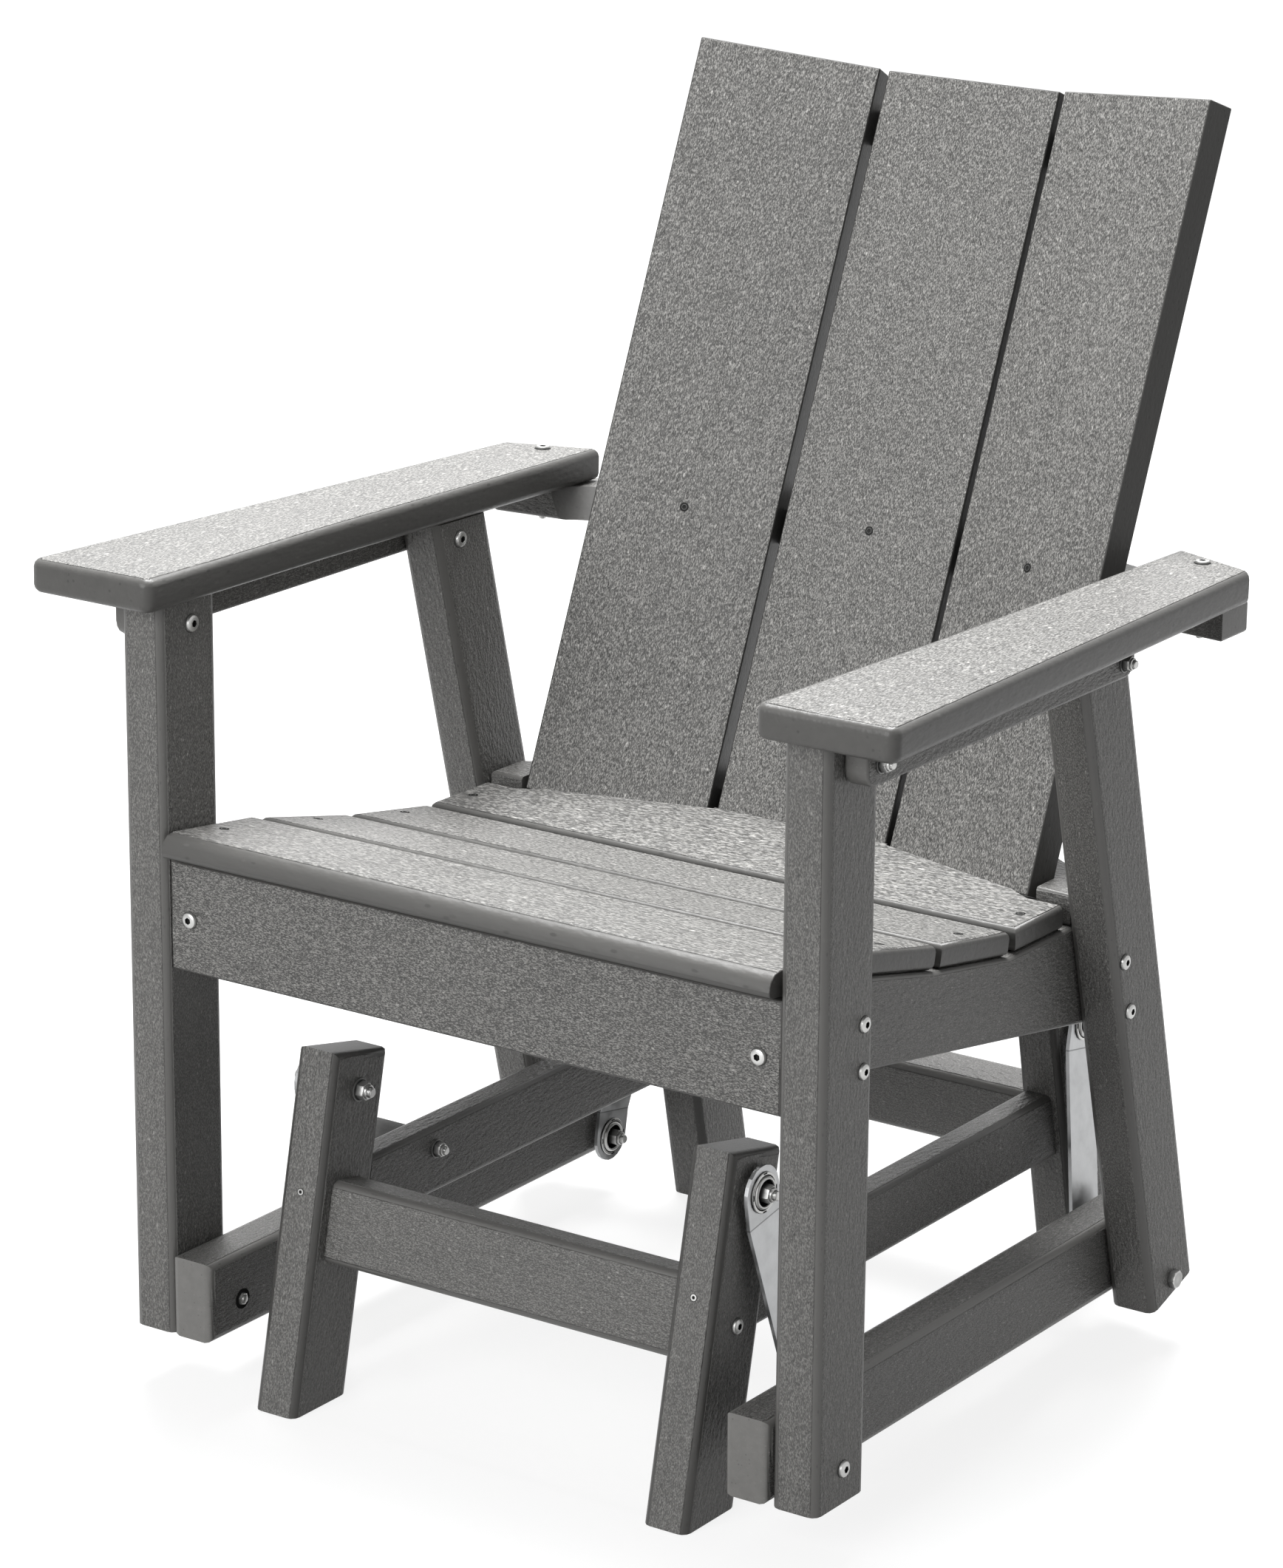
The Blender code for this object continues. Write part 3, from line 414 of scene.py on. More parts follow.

# %% [markdown]
# Each row below names boards and how they lie. The broad-faced boards of the seat, the back and
# the arms have a deep pebble on two faces. The square stock of the posts, rails and legs has a fine
# skin on four faces. Edges and ends get painted shade, darker than the skin, most of all on the
# sides of the back boards by the gaps and on the legs' ends and corners. The sawn rails get painted
# light there instead, paler than the skin.

# %% The boards and how they lie
splay = radians(11.94)
rake = radians(14.43)
recline = radians(22.597)
wing_yaw = radians(14.1)
rail_fall = -0.17
across, back, up = (1, 0, 0), (0, 1, 0), (0, 0, 1)
up_back = Vector((0, sin(recline), cos(recline)))
back_face = Vector((0, -cos(recline), sin(recline)))
deep = dict(faces=(0, 0, 1), fineness=1.0, pebble=1.0, grit=1.15, fleck=1.0, edge=0.72)
# Painted shade on the sides and edges of the back boards, so that the gaps between them look dark.
slat = dict(deep, edge=0.25)
slat_edge_shade = {"left": 0.27, "right": 0.5}
seat = dict(deep, fineness=0.50, pebble=2.0, grit=1.05)
front_seat = dict(seat, pebble=1.7, grit=0.85)
arm = dict(deep, fineness=0.62, pebble=1.6, grit=0.9)
fine = dict(faces=(0, 1, 1), fineness=1.0, pebble=0.8, grit=0.75, fleck=0.8, edge=0.98)
# Painted light on the sawn rails' edges and ends, and painted shade on the legs' edges and ends.
sawn = dict(fine, edge=1.5)
stump = dict(fine, edge=0.6)
seat_falls = {1: 0.129, 2: 0.2315, 3: 0.1716, 4: 0.004}
board_lies = {
    "base_stretcher_front": (across, (0, -cos(splay), sin(splay)), fine),
    "base_stretcher_rear": (across, (0, cos(splay), sin(splay)), fine),
    "front_apron": (across, back, dict(deep, pebble=0.9, grit=1.2, fleck=0.9)),
    "arm_cross_bar": (across, up, fine),
    "lower_cross_bar": (across, up, fine),
    "upper_batten": (across, up, fine),
    "back_slat_middle": (up_back, back_face, slat),
}
for name, side in sides.items():
    turn = Matrix.Rotation(-side * wing_yaw, 3, up_back)
    board_lies[f"back_slat_{name}"] = (up_back, turn @ back_face,
                                       dict(slat, edge=slat_edge_shade[name]))
    board_lies[f"arm_{name}"] = (back, up, arm)
    board_lies[f"arm_cleat_{name}"] = (back, across, fine)
    board_lies[f"front_post_{name}"] = (up, across, fine)
    board_lies[f"rear_post_{name}"] = ((0, -sin(rake), cos(rake)), across, fine)
    board_lies[f"lower_rail_{name}"] = (back, across, sawn)
    board_lies[f"seat_side_rail_{name}"] = ((0, 1, rail_fall), across, fine)
    board_lies[f"base_side_rail_{name}"] = (back, across, fine)
    board_lies[f"base_leg_front_{name}"] = ((0, sin(splay), cos(splay)), across, stump)
    board_lies[f"base_leg_rear_{name}"] = ((0, -sin(splay), cos(splay)), across, stump)
for number, fall in seat_falls.items():
    board_lies[f"seat_slat_{number}"] = (across, (0, fall, 1), front_seat if number == 1 else seat)
print("boards:", len(board_lies))

# %% [markdown]
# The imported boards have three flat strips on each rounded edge. A finer bevel would change the
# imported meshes, which stay as they are, so the edges are only shaded. A small tree of Geometry
# Nodes joins the loose triangles and shades every gentle edge smooth, and a Weighted Normal
# modifier then keeps the broad faces flat while the rounded edges turn smoothly.

# %% Smooth the rounded edges
weld, gentle_slope = 0.00001, radians(38)


def make_rounding_tree():
    """Merge loose triangles and shade edges smooth below an angle."""
    tree, start, end = new_group("round_edges", "GeometryNodeTree", [
        ("Geometry", "NodeSocketGeometry", None),
        ("Merge", "NodeSocketFloat", weld),
        ("Angle", "NodeSocketFloat", gentle_slope),
    ], [("Geometry", "NodeSocketGeometry")])
    merged = add(tree, "GeometryNodeMergeByDistance", {"Geometry": start.outputs["Geometry"],
                                                       "Distance": start.outputs["Merge"]})
    angle = tree.nodes.new("GeometryNodeInputMeshEdgeAngle")
    gentle = add(tree, "FunctionNodeCompare", {0: angle.outputs["Unsigned Angle"],
                                               1: start.outputs["Angle"]},
                 data_type="FLOAT", operation="LESS_THAN")
    faces = add(tree, "GeometryNodeSetShadeSmooth", {"Geometry": merged.outputs[0],
                                                     "Shade Smooth": True}, domain="FACE")
    edges = add(tree, "GeometryNodeSetShadeSmooth", {"Geometry": faces.outputs[0],
                                                     "Shade Smooth": gentle.outputs[0]},
                domain="EDGE")
    feed(tree, end, {"Geometry": edges.outputs[0]})
    return tree


rounding_tree = make_rounding_tree()


def add_tree(piece, tree, sizes):
    """Add a tree as a modifier, with its inputs set by their sockets' identifiers."""
    modifier = piece.modifiers.new(tree.name, "NODES")
    modifier.node_group = tree
    sockets = {item.name: item.identifier for item in tree.interface.items_tree}
    for label, value in sizes.items():
        modifier[sockets[label]] = value


def smooth_edges(piece, angle=gentle_slope):
    """Add the two shading modifiers; edges sharper than the angle stay crisp."""
    add_tree(piece, rounding_tree, {"Angle": angle})
    weighted = piece.modifiers.new("flat_faces", "WEIGHTED_NORMAL")
    weighted.keep_sharp = True


def finish_board(piece, name):
    """Give a board its own turned material and smooth edges."""
    length, face, style = board_lies[name]
    shift = board_shift * sorted(board_lies).index(name)
    coat(piece, board_material(name, length, face, shift, **style))
    smooth_edges(piece)


for name in board_lies:
    finish_board(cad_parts[name], name)
print("boards finished:", len(board_lies))

# %% [markdown]
# The three back boards are sawn from sheet, so their edges are crisp and the gaps between them look
# narrow and dark from this side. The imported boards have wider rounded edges. Each one is measured
# along its own directions and made again with small edges. All three are a little wider than the
# packed ones, the middle one most, so that the gaps are as narrow as on the real chair.

# %% Back boards
crisp_edge, edge_steps = 0.0012, 3
side_extra = {"left": 0.0012, "middle": 0.0034, "right": 0.0012}


def measured_box(node, length, face):
    """A board's own directions, and its reach along each of them."""
    along, out = Vector(length).normalized(), Vector(face).normalized()
    axes = (out.cross(along), along, out)
    points = [vertex.co for vertex in node.data.vertices]
    reaches = [[point.dot(axis) for point in points] for axis in axes]
    return axes, [(min(reach), max(reach)) for reach in reaches]


def make_back_slat(name):
    """A sawn board with crisp edges in a packed board's place."""
    node = f"back_slat_{name}"
    axes, reach = measured_box(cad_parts[node], *board_lies[node][:2])
    extra = side_extra[name]
    reach[0] = (reach[0][0] - extra, reach[0][1] + extra)
    form = bmesh.new()
    bmesh.ops.create_cube(form, size=1)
    for corner in form.verts:
        spot = Vector()
        for axis, (low, high), value in zip(axes, reach, corner.co):
            spot += axis * (high if value > 0 else low)
        corner.co = spot
    # Left-handed directions turn the cube inside out, so its faces are turned back.
    if axes[0].cross(axes[1]).dot(axes[2]) < 0:
        bmesh.ops.reverse_faces(form, faces=form.faces[:])
    form.normal_update()
    bmesh.ops.bevel(form, geom=form.edges[:], offset=crisp_edge, segments=edge_steps,
                    affect="EDGES", profile=0.5)
    for face in form.faces:
        face.smooth = True
    mesh = bpy.data.meshes.new(f"sawn_{node}")
    form.to_mesh(mesh)
    form.free()
    piece = new_object(f"sawn_{node}", mesh)
    piece.modifiers.new("flat_faces", "WEIGHTED_NORMAL")
    mesh.materials.append(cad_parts[node].data.materials[0])
    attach(piece, "seat_frame")
    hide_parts(node)
    return piece


boards = dict(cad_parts)
for name in ("left", "middle", "right"):
    piece = make_back_slat(name)
    boards[f"back_slat_{name}"] = piece
    print(piece.name, "faces:", len(piece.data.polygons))
bpy.context.view_layer.update()

# %% [markdown]
# Bolts, nuts and screws are turned parts with a hexagon here and there. Each could be a mesh of its
# own, but one tree makes any of them from a short list of rows, as a lathe does from a drawing.
# Each row has a height and a radius as shares of the part's own, how far its outline is a hexagon,
# and a last value: up to 1 it paints shade, fully dark in a recess, and -1 marks a threaded length.

# %% Tree for turned parts
part_sides = 24
side_turn = 2 * pi / part_sides
hex_step = pi / 3
part_weld = 0.000002


def pick(tree, index, values):
    """The value that belongs to a row."""
    switch = tree.nodes.new("GeometryNodeIndexSwitch")
    switch.data_type = "FLOAT"
    while len(switch.index_switch_items) < len(values):
        switch.index_switch_items.new()
    tree.links.new(index, switch.inputs["Index"])
    for number, value in enumerate(values):
        switch.inputs[str(number)].default_value = value
    return switch.outputs[0]


def turned_group(name, rows):
    """A tree that turns a profile around Z, sized by its two inputs."""
    tree, start, end = new_group(name, "GeometryNodeTree", [
        ("Radius", "NodeSocketFloat", 0.006), ("Height", "NodeSocketFloat", 0.003),
    ], [("Geometry", "NodeSocketGeometry")])
    last = len(rows) - 1
    grid = add(tree, "GeometryNodeMeshGrid", {"Size X": float(part_sides), "Size Y": float(last),
                                              "Vertices X": part_sides + 1,
                                              "Vertices Y": last + 1})
    where = add(tree, "ShaderNodeSeparateXYZ",
                {0: tree.nodes.new("GeometryNodeInputPosition").outputs[0]})
    row = add(tree, "FunctionNodeFloatToInt",
              {0: math(tree, "ADD", where.outputs[1], last / 2)}).outputs[0]
    angle = math(tree, "MULTIPLY", where.outputs[0], side_turn)
    heights, radii, hexes, shades_and_threads = (pick(tree, row, column) for column in zip(*rows))
    fold = math(tree, "SUBTRACT", math(tree, "FLOORED_MODULO", angle, hex_step), hex_step / 2)
    flat = math(tree, "DIVIDE", cos(hex_step / 2), math(tree, "COSINE", fold))
    outline = math(tree, "ADD", 1.0, math(tree, "MULTIPLY", math(tree, "SUBTRACT", flat, 1.0),
                                          hexes))
    radius = math(tree, "MULTIPLY", math(tree, "MULTIPLY", radii, start.outputs["Radius"]),
                  outline)
    place = add(tree, "ShaderNodeCombineXYZ", {
        0: math(tree, "MULTIPLY", radius, math(tree, "COSINE", angle)),
        1: math(tree, "MULTIPLY", radius, math(tree, "SINE", angle)),
        2: math(tree, "MULTIPLY", heights, start.outputs["Height"])})
    marked = add(tree, "GeometryNodeStoreNamedAttribute", {
        "Geometry": grid.outputs["Mesh"], "Name": "shade_and_thread", "Value": shades_and_threads},
        data_type="FLOAT", domain="POINT")
    turned = add(tree, "GeometryNodeSetPosition", {"Geometry": marked.outputs[0],
                                                   "Position": place.outputs[0]})
    closed = add(tree, "GeometryNodeMergeByDistance", {"Geometry": turned.outputs[0],
                                                       "Distance": part_weld})
    feed(tree, end, {0: closed.outputs[0]})
    return tree


print("sides of a turned part:", part_sides)

# %% [markdown]
# The heads of the bolts are round with a hexagon socket, and those on the arms are lower and carry
# more painted shade. Painted shade darkens the sockets, a ring round each head and the flanks of the
# nuts, and the screws sit in dark rings of painted shade for their sunk holes. Each kind has its
# rows, its radius and its height.

# %% Kinds of fastener
# In the rows below, a last value above 0 paints shade: on sockets, rings round heads, nut flanks and
# sunk holes.
button_rows = [(-0.1, 0, 0, 0), (-0.1, 1.08, 0, 1), (0.04, 1.08, 0, 1), (0.06, 1, 0, 0.6),
               (0.35, 1, 0, 0), (0.72, 0.92, 0, 0), (0.93, 0.76, 0, 0), (1, 0.62, 0, 0),
               (1, 0.44, 1, 0), (0.97, 0.43, 1, 1), (0.3, 0.42, 1, 1), (0.25, 0, 0, 1)]
low_button_rows = [(-0.1, 0, 0, 0), (-0.1, 1.1, 0, 1), (0.1, 1.1, 0, 1), (0.15, 1, 0, 0.9),
                   (0.6, 0.94, 0, 0.6), (0.9, 0.85, 0, 0.1), (1, 0.7, 0, 0.4), (1, 0.44, 1, 0.4),
                   (0.97, 0.43, 1, 1), (0.3, 0.42, 1, 1), (0.25, 0, 0, 1)]
nut_rows = [(-0.05, 0, 0, 1), (-0.05, 1.2, 0, 1), (0.11, 1.2, 0, 0.45), (0.12, 1, 0, 0.9),
            (0.13, 1, 1, 0.8), (0.2, 1, 1, 0.65), (0.52, 1, 1, 0.4), (0.6, 0.88, 0.4, 0.2),
            (0.61, 0.76, 0, 0.6), (0.74, 0.73, 0, 0), (0.78, 0.64, 0, 0), (0.77, 0.52, 0, 0.9),
            (0.78, 0.5, 0, -1), (0.95, 0.5, 0, -1), (1, 0.4, 0, 0), (1, 0, 0, 0)]
hex_head_rows = [(-0.1, 0, 0, 0), (-0.1, 1, 1, 0.9), (0.15, 1, 1, 0.6), (0.88, 1, 1, 0.45),
                 (0.98, 0.86, 0, 0), (1, 0.8, 0, 0.3), (0.95, 0.6, 0, 0.4), (0.95, 0, 0, 0.3)]
screw_rows = [(-1, 0, 0, 0), (-1, 1, 0, 1), (0.2, 1, 0, 1), (0.3, 0.86, 0, 0.8), (0.5, 0.82, 0, 0),
              (0.6, 0.6, 0, 0), (0.55, 0.45, 0, 0.3), (0.5, 0.42, 1, 1), (0.1, 0, 0, 1)]
deep_screw_rows = [(-1, 0, 0, 0), (-1, 1, 0, 1), (0.2, 1, 0, 1), (0.3, 0.66, 0, 1),
                   (0.5, 0.62, 0, 0.85), (0.6, 0.56, 0, 0.7), (0.55, 0.46, 0, 0.9),
                   (0.5, 0.44, 1, 1), (0.1, 0, 0, 1)]
sunk_nut_rows = [(-1, 0, 0, 0), (-1, 1, 0, 1), (0.1, 1, 0, 1), (0.1, 0.64, 0, 1),
                 (0.12, 0.62, 1, 0.6), (0.8, 0.6, 1, 0.3), (0.9, 0.52, 0.4, 0),
                 (0.92, 0.44, 0, 0.2), (0.9, 0.34, 0, 1), (0.9, 0.32, 0, -1), (1.6, 0.31, 0, 0),
                 (1.7, 0.24, 0, 0), (1.7, 0, 0, 0)]
pivot_nut_rows = [(-0.05, 0, 0, 1), (-0.05, 1, 1, 0.9), (0.15, 1, 1, 0.7), (0.5, 1, 1, 0.4),
                  (0.58, 0.9, 0.4, 0.2), (0.59, 0.78, 0, 0.7), (0.72, 0.75, 0, 0.3),
                  (0.76, 0.66, 0, 0), (0.75, 0.54, 0, 0.9), (0.76, 0.52, 0, -1),
                  (0.95, 0.52, 0, -1), (1, 0.42, 0, 0), (1, 0, 0, 0)]
tip_rows = [(-0.1, 0, 0, 0), (-0.1, 1, 0, -1), (0.8, 1, 0, -1), (1, 0.75, 0, 0), (1, 0, 0, 0)]
kinds = {
    "button": (button_rows, 0.0062, 0.0032), "low_button": (low_button_rows, 0.0060, 0.0022),
    "nut": (nut_rows, 0.0060, 0.0104),
    "hex_head": (hex_head_rows, 0.0076, 0.0054), "screw": (screw_rows, 0.0033, 0.0006),
    "deep_screw": (deep_screw_rows, 0.0043, 0.0006),
    "pivot_nut": (pivot_nut_rows, 0.0069, 0.0130),
    "sunk_nut": (sunk_nut_rows, 0.0080, 0.0020), "tip": (tip_rows, 0.0030, 0.0060),
}
print("kinds of fastener:", ", ".join(kinds))

# %% [markdown]
# The hardware is bright zinc and stainless steel. Plain metal looks like a mirror, so a small group
# gives both metals the same cloudy tarnish and fine scratches.

# %% Wear on metal
tarnish_to_the_metre, scratch_to_the_metre = 70.0, 900.0
tarnish_shade, tarnish_rough = (0.78, 1.08), (0.24, 0.40)
scratch_rough = 0.12


def make_wear_group():
    """Cloudy shade, roughness and fine scratches for bare metal."""
    tree, start, end = new_group("metal_wear", "ShaderNodeTree", [
        ("Position", "NodeSocketVector", None), ("Stretch", "NodeSocketVector", (1, 1, 1)),
    ], [("Shade", "NodeSocketFloat"), ("Roughness", "NodeSocketFloat"),
        ("Height", "NodeSocketFloat")])
    drawn = stretched(tree, start.outputs["Position"], start.outputs["Stretch"])
    cloud = noise(tree, start.outputs["Position"], tarnish_to_the_metre, detail=4.0)
    grain = noise(tree, drawn, scratch_to_the_metre)
    rough = math(tree, "ADD", ramp(tree, cloud, 0.3, 0.7, *tarnish_rough),
                 math(tree, "MULTIPLY", grain, scratch_rough))
    feed(tree, end, {"Shade": ramp(tree, cloud, 0.25, 0.75, *tarnish_shade), "Roughness": rough,
                     "Height": grain})
    return tree


wear_group = make_wear_group()
print("nodes in the wear group:", len(wear_group.nodes))

# %% [markdown]
# The fasteners' last values paint shade into the sockets, rings and holes and cut the threads,
# which would take many faces as geometry. The hangers are strips with a bend near each end. The
# imported strips have these bends, and the material only paints the line of shade that each shows.
# The stop bumpers are dusty rubber.

# %% Metal and rubber
fold_from_pivot, fold_reach, fold_shade = 0.022, (0.0002, 0.0008), (0.45, 1.0)
recess_shade = 0.06
threads_to_the_metre, scratch_in_thread = 320.0, 0.1
thread_bump, scratch_bump, rubber_bump = 0.0003, 0.00008, 0.0002
rubber_grain, rubber_dust = 500.0, 60.0
dust_shade, rubber_rough = (0.8, 1.5), (0.55, 0.8)
steel, zinc, rubber_grey = (0.50, 0.50, 0.49), (0.41, 0.415, 0.42), (0.10, 0.10, 0.098)
even, drawn_down = (1, 1, 1), (1, 1, 0.08)
crisp_slope = radians(9)


def crease_lines(tree, where, pivots):
    """Painted shade of the two fold lines across a strip, one near each of its pivots."""
    along = (pivots[1] - pivots[0]).normalized()
    reach = add(tree, "ShaderNodeVectorMath", {0: where, 1: along},
                operation="DOT_PRODUCT").outputs["Value"]
    both = []
    for pivot, way in zip(pivots, (1, -1)):
        fold = pivot.dot(along) + way * fold_from_pivot
        near = math(tree, "ABSOLUTE", math(tree, "SUBTRACT", reach, fold))
        both.append(ramp(tree, near, *fold_reach, *fold_shade))
    return math(tree, "MULTIPLY", *both)


def metal_material(name, colour, stretch, marked, pivots=None):
    """Bare metal with wear; marked metal also has painted shade in its recesses, and threads."""
    material, tree, surface = new_material(name)
    where = tree.nodes.new("ShaderNodeTexCoord").outputs["Object"]
    wear = add(tree, "ShaderNodeGroup", {"Position": where, "Stretch": stretch},
               node_tree=wear_group)
    shade, height = wear.outputs["Shade"], wear.outputs["Height"]
    feed(tree, surface, {"Metallic": 1.0, "Roughness": wear.outputs["Roughness"]})
    if pivots:
        # Painted shade along the two bends of a hanger.
        shade = math(tree, "MULTIPLY", shade, crease_lines(tree, where, pivots))
    if marked:
        shade_and_thread = add(tree, "ShaderNodeAttribute", attribute_name="shade_and_thread").outputs["Fac"]
        recess = math(tree, "MAXIMUM", shade_and_thread, 0.0)
        thread = math(tree, "MAXIMUM", math(tree, "MULTIPLY", shade_and_thread, -1.0), 0.0)
        # Painted shade: where the value is above 0 the colour darkens, down to near black in
        # recesses.
        shade = math(tree, "MULTIPLY", shade, ramp(tree, recess, 0.0, 1.0, 1.0, recess_shade))
        ridges = add(tree, "ShaderNodeTexWave", {"Vector": where, "Scale": threads_to_the_metre},
                     bands_direction="X").outputs["Fac"]
        height = math(tree, "ADD", math(tree, "MULTIPLY", height, scratch_in_thread),
                      math(tree, "MULTIPLY", ridges, thread))
        feed(tree, surface, {"Metallic": ramp(tree, recess, 0.2, 0.9, 1.0, 0.0),
                             "Specular IOR Level": ramp(tree, recess, 0.0, 1.0, full_gloss, 0.0)})
    bump = add(tree, "ShaderNodeBump", {"Strength": 0.5, "Height": height,
                                        "Distance": thread_bump if marked else scratch_bump})
    feed(tree, surface, {"Base Color": scaled(tree, colour, shade), "Normal": bump.outputs[0]})
    return material


def rubber_material():
    """Grey moulded rubber for the stop bumpers."""
    material, tree, surface = new_material("bumper_rubber")
    where = tree.nodes.new("ShaderNodeTexCoord").outputs["Object"]
    grain = noise(tree, where, rubber_grain, detail=3.0)
    dust = ramp(tree, noise(tree, where, rubber_dust), 0.3, 0.8, *dust_shade)
    bump = add(tree, "ShaderNodeBump", {"Strength": 0.6, "Distance": rubber_bump,
                                        "Height": grain})
    feed(tree, surface, {"Base Color": scaled(tree, rubber_grey, dust),
                         "Roughness": ramp(tree, grain, 0.2, 0.8, *rubber_rough),
                         "Normal": bump.outputs[0]})
    return material


fastener_steel = metal_material("fastener_steel", steel, even, True)
bumper_rubber = rubber_material()
for side in sides:
    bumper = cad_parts[f"stop_bumper_{side}"]
    coat(bumper, bumper_rubber)
    smooth_edges(bumper)
    for end in ends:
        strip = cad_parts[f"hanger_{end}_{side}"]
        pivots = [sum(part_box(f"bearing_{level}_{end}_{side}"), Vector()) / 2 for level in levels]
        coat(strip, metal_material(f"hanger_zinc_{end}_{side}", zinc, drawn_down, False, pivots))
        smooth_edges(strip, crisp_slope)
print("metals:", strip.data.materials[0].name, fastener_steel.name, bumper_rubber.name)

# %% [markdown]
# Every fastener is one point with three notes: which kind it is, which way it looks, and how large
# it is. They could be copied one by one, but one tree puts the right part on each point and gives
# it a chance turn, as real bolts have. The result is one plain mesh for each moving body.

# %% Tree that sets the fasteners
fine_weld, part_slope = 0.000001, radians(30)


def read_note(tree, name, data_type):
    """A named attribute of the points."""
    note = add(tree, "GeometryNodeInputNamedAttribute", {"Name": name}, data_type=data_type)
    return note.outputs["Attribute"]


def aimed(tree):
    """The turn that stands a part up along its point's own axis."""
    axis = read_note(tree, "axis", "FLOAT_VECTOR")
    return add(tree, "FunctionNodeAlignRotationToVector", {"Vector": axis}, axis="Z").outputs[0]


def finish_parts(tree, end, parts, angle):
    """Make the parts real, weld and shade them, and coat them in steel."""
    real = add(tree, "GeometryNodeRealizeInstances", {0: parts})
    smooth = add(tree, "GeometryNodeGroup", {"Geometry": real.outputs[0], "Merge": fine_weld,
                                             "Angle": angle}, node_tree=rounding_tree)
    steely = add(tree, "GeometryNodeSetMaterial", {"Geometry": smooth.outputs[0],
                                                   "Material": fastener_steel})
    feed(tree, end, {0: steely.outputs[0]})


def make_fastener_tree():
    """Points become fasteners; every size is an input."""
    size_inputs = []
    for kind, (rows, radius, height) in kinds.items():
        size_inputs += [(f"{kind}_radius", "NodeSocketFloat", radius),
                        (f"{kind}_height", "NodeSocketFloat", height)]
    tree, start, end = new_group("set_fasteners", "GeometryNodeTree",
                                 [("Geometry", "NodeSocketGeometry", None),
                                  ("Seed", "NodeSocketInt", 7)] + size_inputs,
                                 [("Geometry", "NodeSocketGeometry")])
    chance = add(tree, "FunctionNodeRandomValue", {"Seed": start.outputs["Seed"]},
                 data_type="FLOAT").outputs[1]
    spin = add(tree, "FunctionNodeAxisAngleToRotation",
               {"Axis": (0, 0, 1), "Angle": math(tree, "MULTIPLY", chance, 2 * pi)}).outputs[0]
    turn = add(tree, "FunctionNodeRotateRotation", {"Rotation": aimed(tree), "Rotate By": spin},
               rotation_space="LOCAL").outputs[0]
    kind_note, size_note = read_note(tree, "kind", "INT"), read_note(tree, "size", "FLOAT")
    joined = tree.nodes.new("GeometryNodeJoinGeometry")
    for number, (kind, (rows, radius, height)) in enumerate(kinds.items()):
        part = add(tree, "GeometryNodeGroup", {"Radius": start.outputs[f"{kind}_radius"],
                                               "Height": start.outputs[f"{kind}_height"]},
                   node_tree=turned_group(f"turned_{kind}", rows))
        mine = add(tree, "FunctionNodeCompare", {2: kind_note, 3: number}, data_type="INT",
                   operation="EQUAL")
        put = add(tree, "GeometryNodeInstanceOnPoints", {
            "Points": start.outputs["Geometry"], "Selection": mine.outputs[0],
            "Instance": part.outputs[0], "Rotation": turn, "Scale": size_note})
        tree.links.new(put.outputs[0], joined.inputs[0])
    finish_parts(tree, end, joined.outputs[0], part_slope)
    return tree


fastener_tree = make_fastener_tree()
print("fastener inputs:", len(fastener_tree.interface.items_tree))

# %% [markdown]
# A tree's result is only worked out when the object is shown. This helper keeps it as a plain
# mesh, which moves with its body and can be exported.

# %% From points to a plain mesh
def grow(name, points, notes, tree, sizes):
    """Points with their notes, run through a tree and kept as one plain mesh."""
    mesh = bpy.data.meshes.new(name)
    mesh.from_pydata(points, [], [])
    for note, (data_type, values) in notes.items():
        slot = "vector" if data_type == "FLOAT_VECTOR" else "value"
        mesh.attributes.new(note, data_type, "POINT").data.foreach_set(slot, values)
    piece = new_object(name, mesh)
    add_tree(piece, tree, sizes)
    graph = bpy.context.evaluated_depsgraph_get()
    piece.data = bpy.data.meshes.new_from_object(piece.evaluated_get(graph))
    piece.modifiers.clear()
    return piece


def make_fasteners(name, body, rows):
    """Turn a list of fasteners into one plain mesh that rides on a body."""
    names, scales, places, axes = zip(*rows)
    notes = {"kind": ("INT", [list(kinds).index(kind) for kind in names]),
             "size": ("FLOAT", scales),
             "axis": ("FLOAT_VECTOR", [value for axis in axes for value in axis])}
    sizes = {"Seed": len(rows)}
    for kind, (profile, radius, height) in kinds.items():
        sizes[f"{kind}_radius"] = radius
        sizes[f"{kind}_height"] = height
    piece = grow(name, places, notes, fastener_tree, sizes)
    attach(piece, body)
    return piece


print("kinds to choose from:", len(kinds))

# %% [markdown]
# The places come from the boards themselves. A line is sent at a board from outside, the middle,
# the front, the rear, above or below, and the fastener sits where the line meets the surface, at
# right angles to it. So a head never floats, as it could where its place is typed in.

# %% Where a line meets a board
beside = 0.007
outside, high_up, near_floor = 1.0, 1.5, 0.01


def line_to(view, way, place):
    """A line's start, its direction, and the small step aside that misses the hole."""
    x, y, z = place
    start, toward = {"out": ((way * outside, y, z), (-way, 0, 0)),
                     "in": ((0, y, z), (way, 0, 0)),
                     "front": ((way * x, -outside, z), (0, 1, 0)),
                     "rear": ((way * x, outside, z), (0, -1, 0)),
                     "top": ((way * x, y, high_up), (0, 0, -1)),
                     "under": ((way * x, y, near_floor), (0, 0, 1))}[view]
    aside = (0, 0, -beside) if view in ("out", "in") else (-way * beside, 0, 0)
    return Vector(start), Vector(toward), Vector(aside)


def set_on(kind, size, board, side, view, place):
    """One fastener where a line meets a board; the face is found just beside its hole."""
    start, toward, aside = line_to(view, sides[side], place)
    hit, spot, normal, index = boards[board].ray_cast(start + aside, toward)
    assert hit, (kind, board, view, place)
    spot = start + toward * ((spot - start).dot(normal) / toward.dot(normal))
    return kind, size, tuple(spot), tuple(normal)


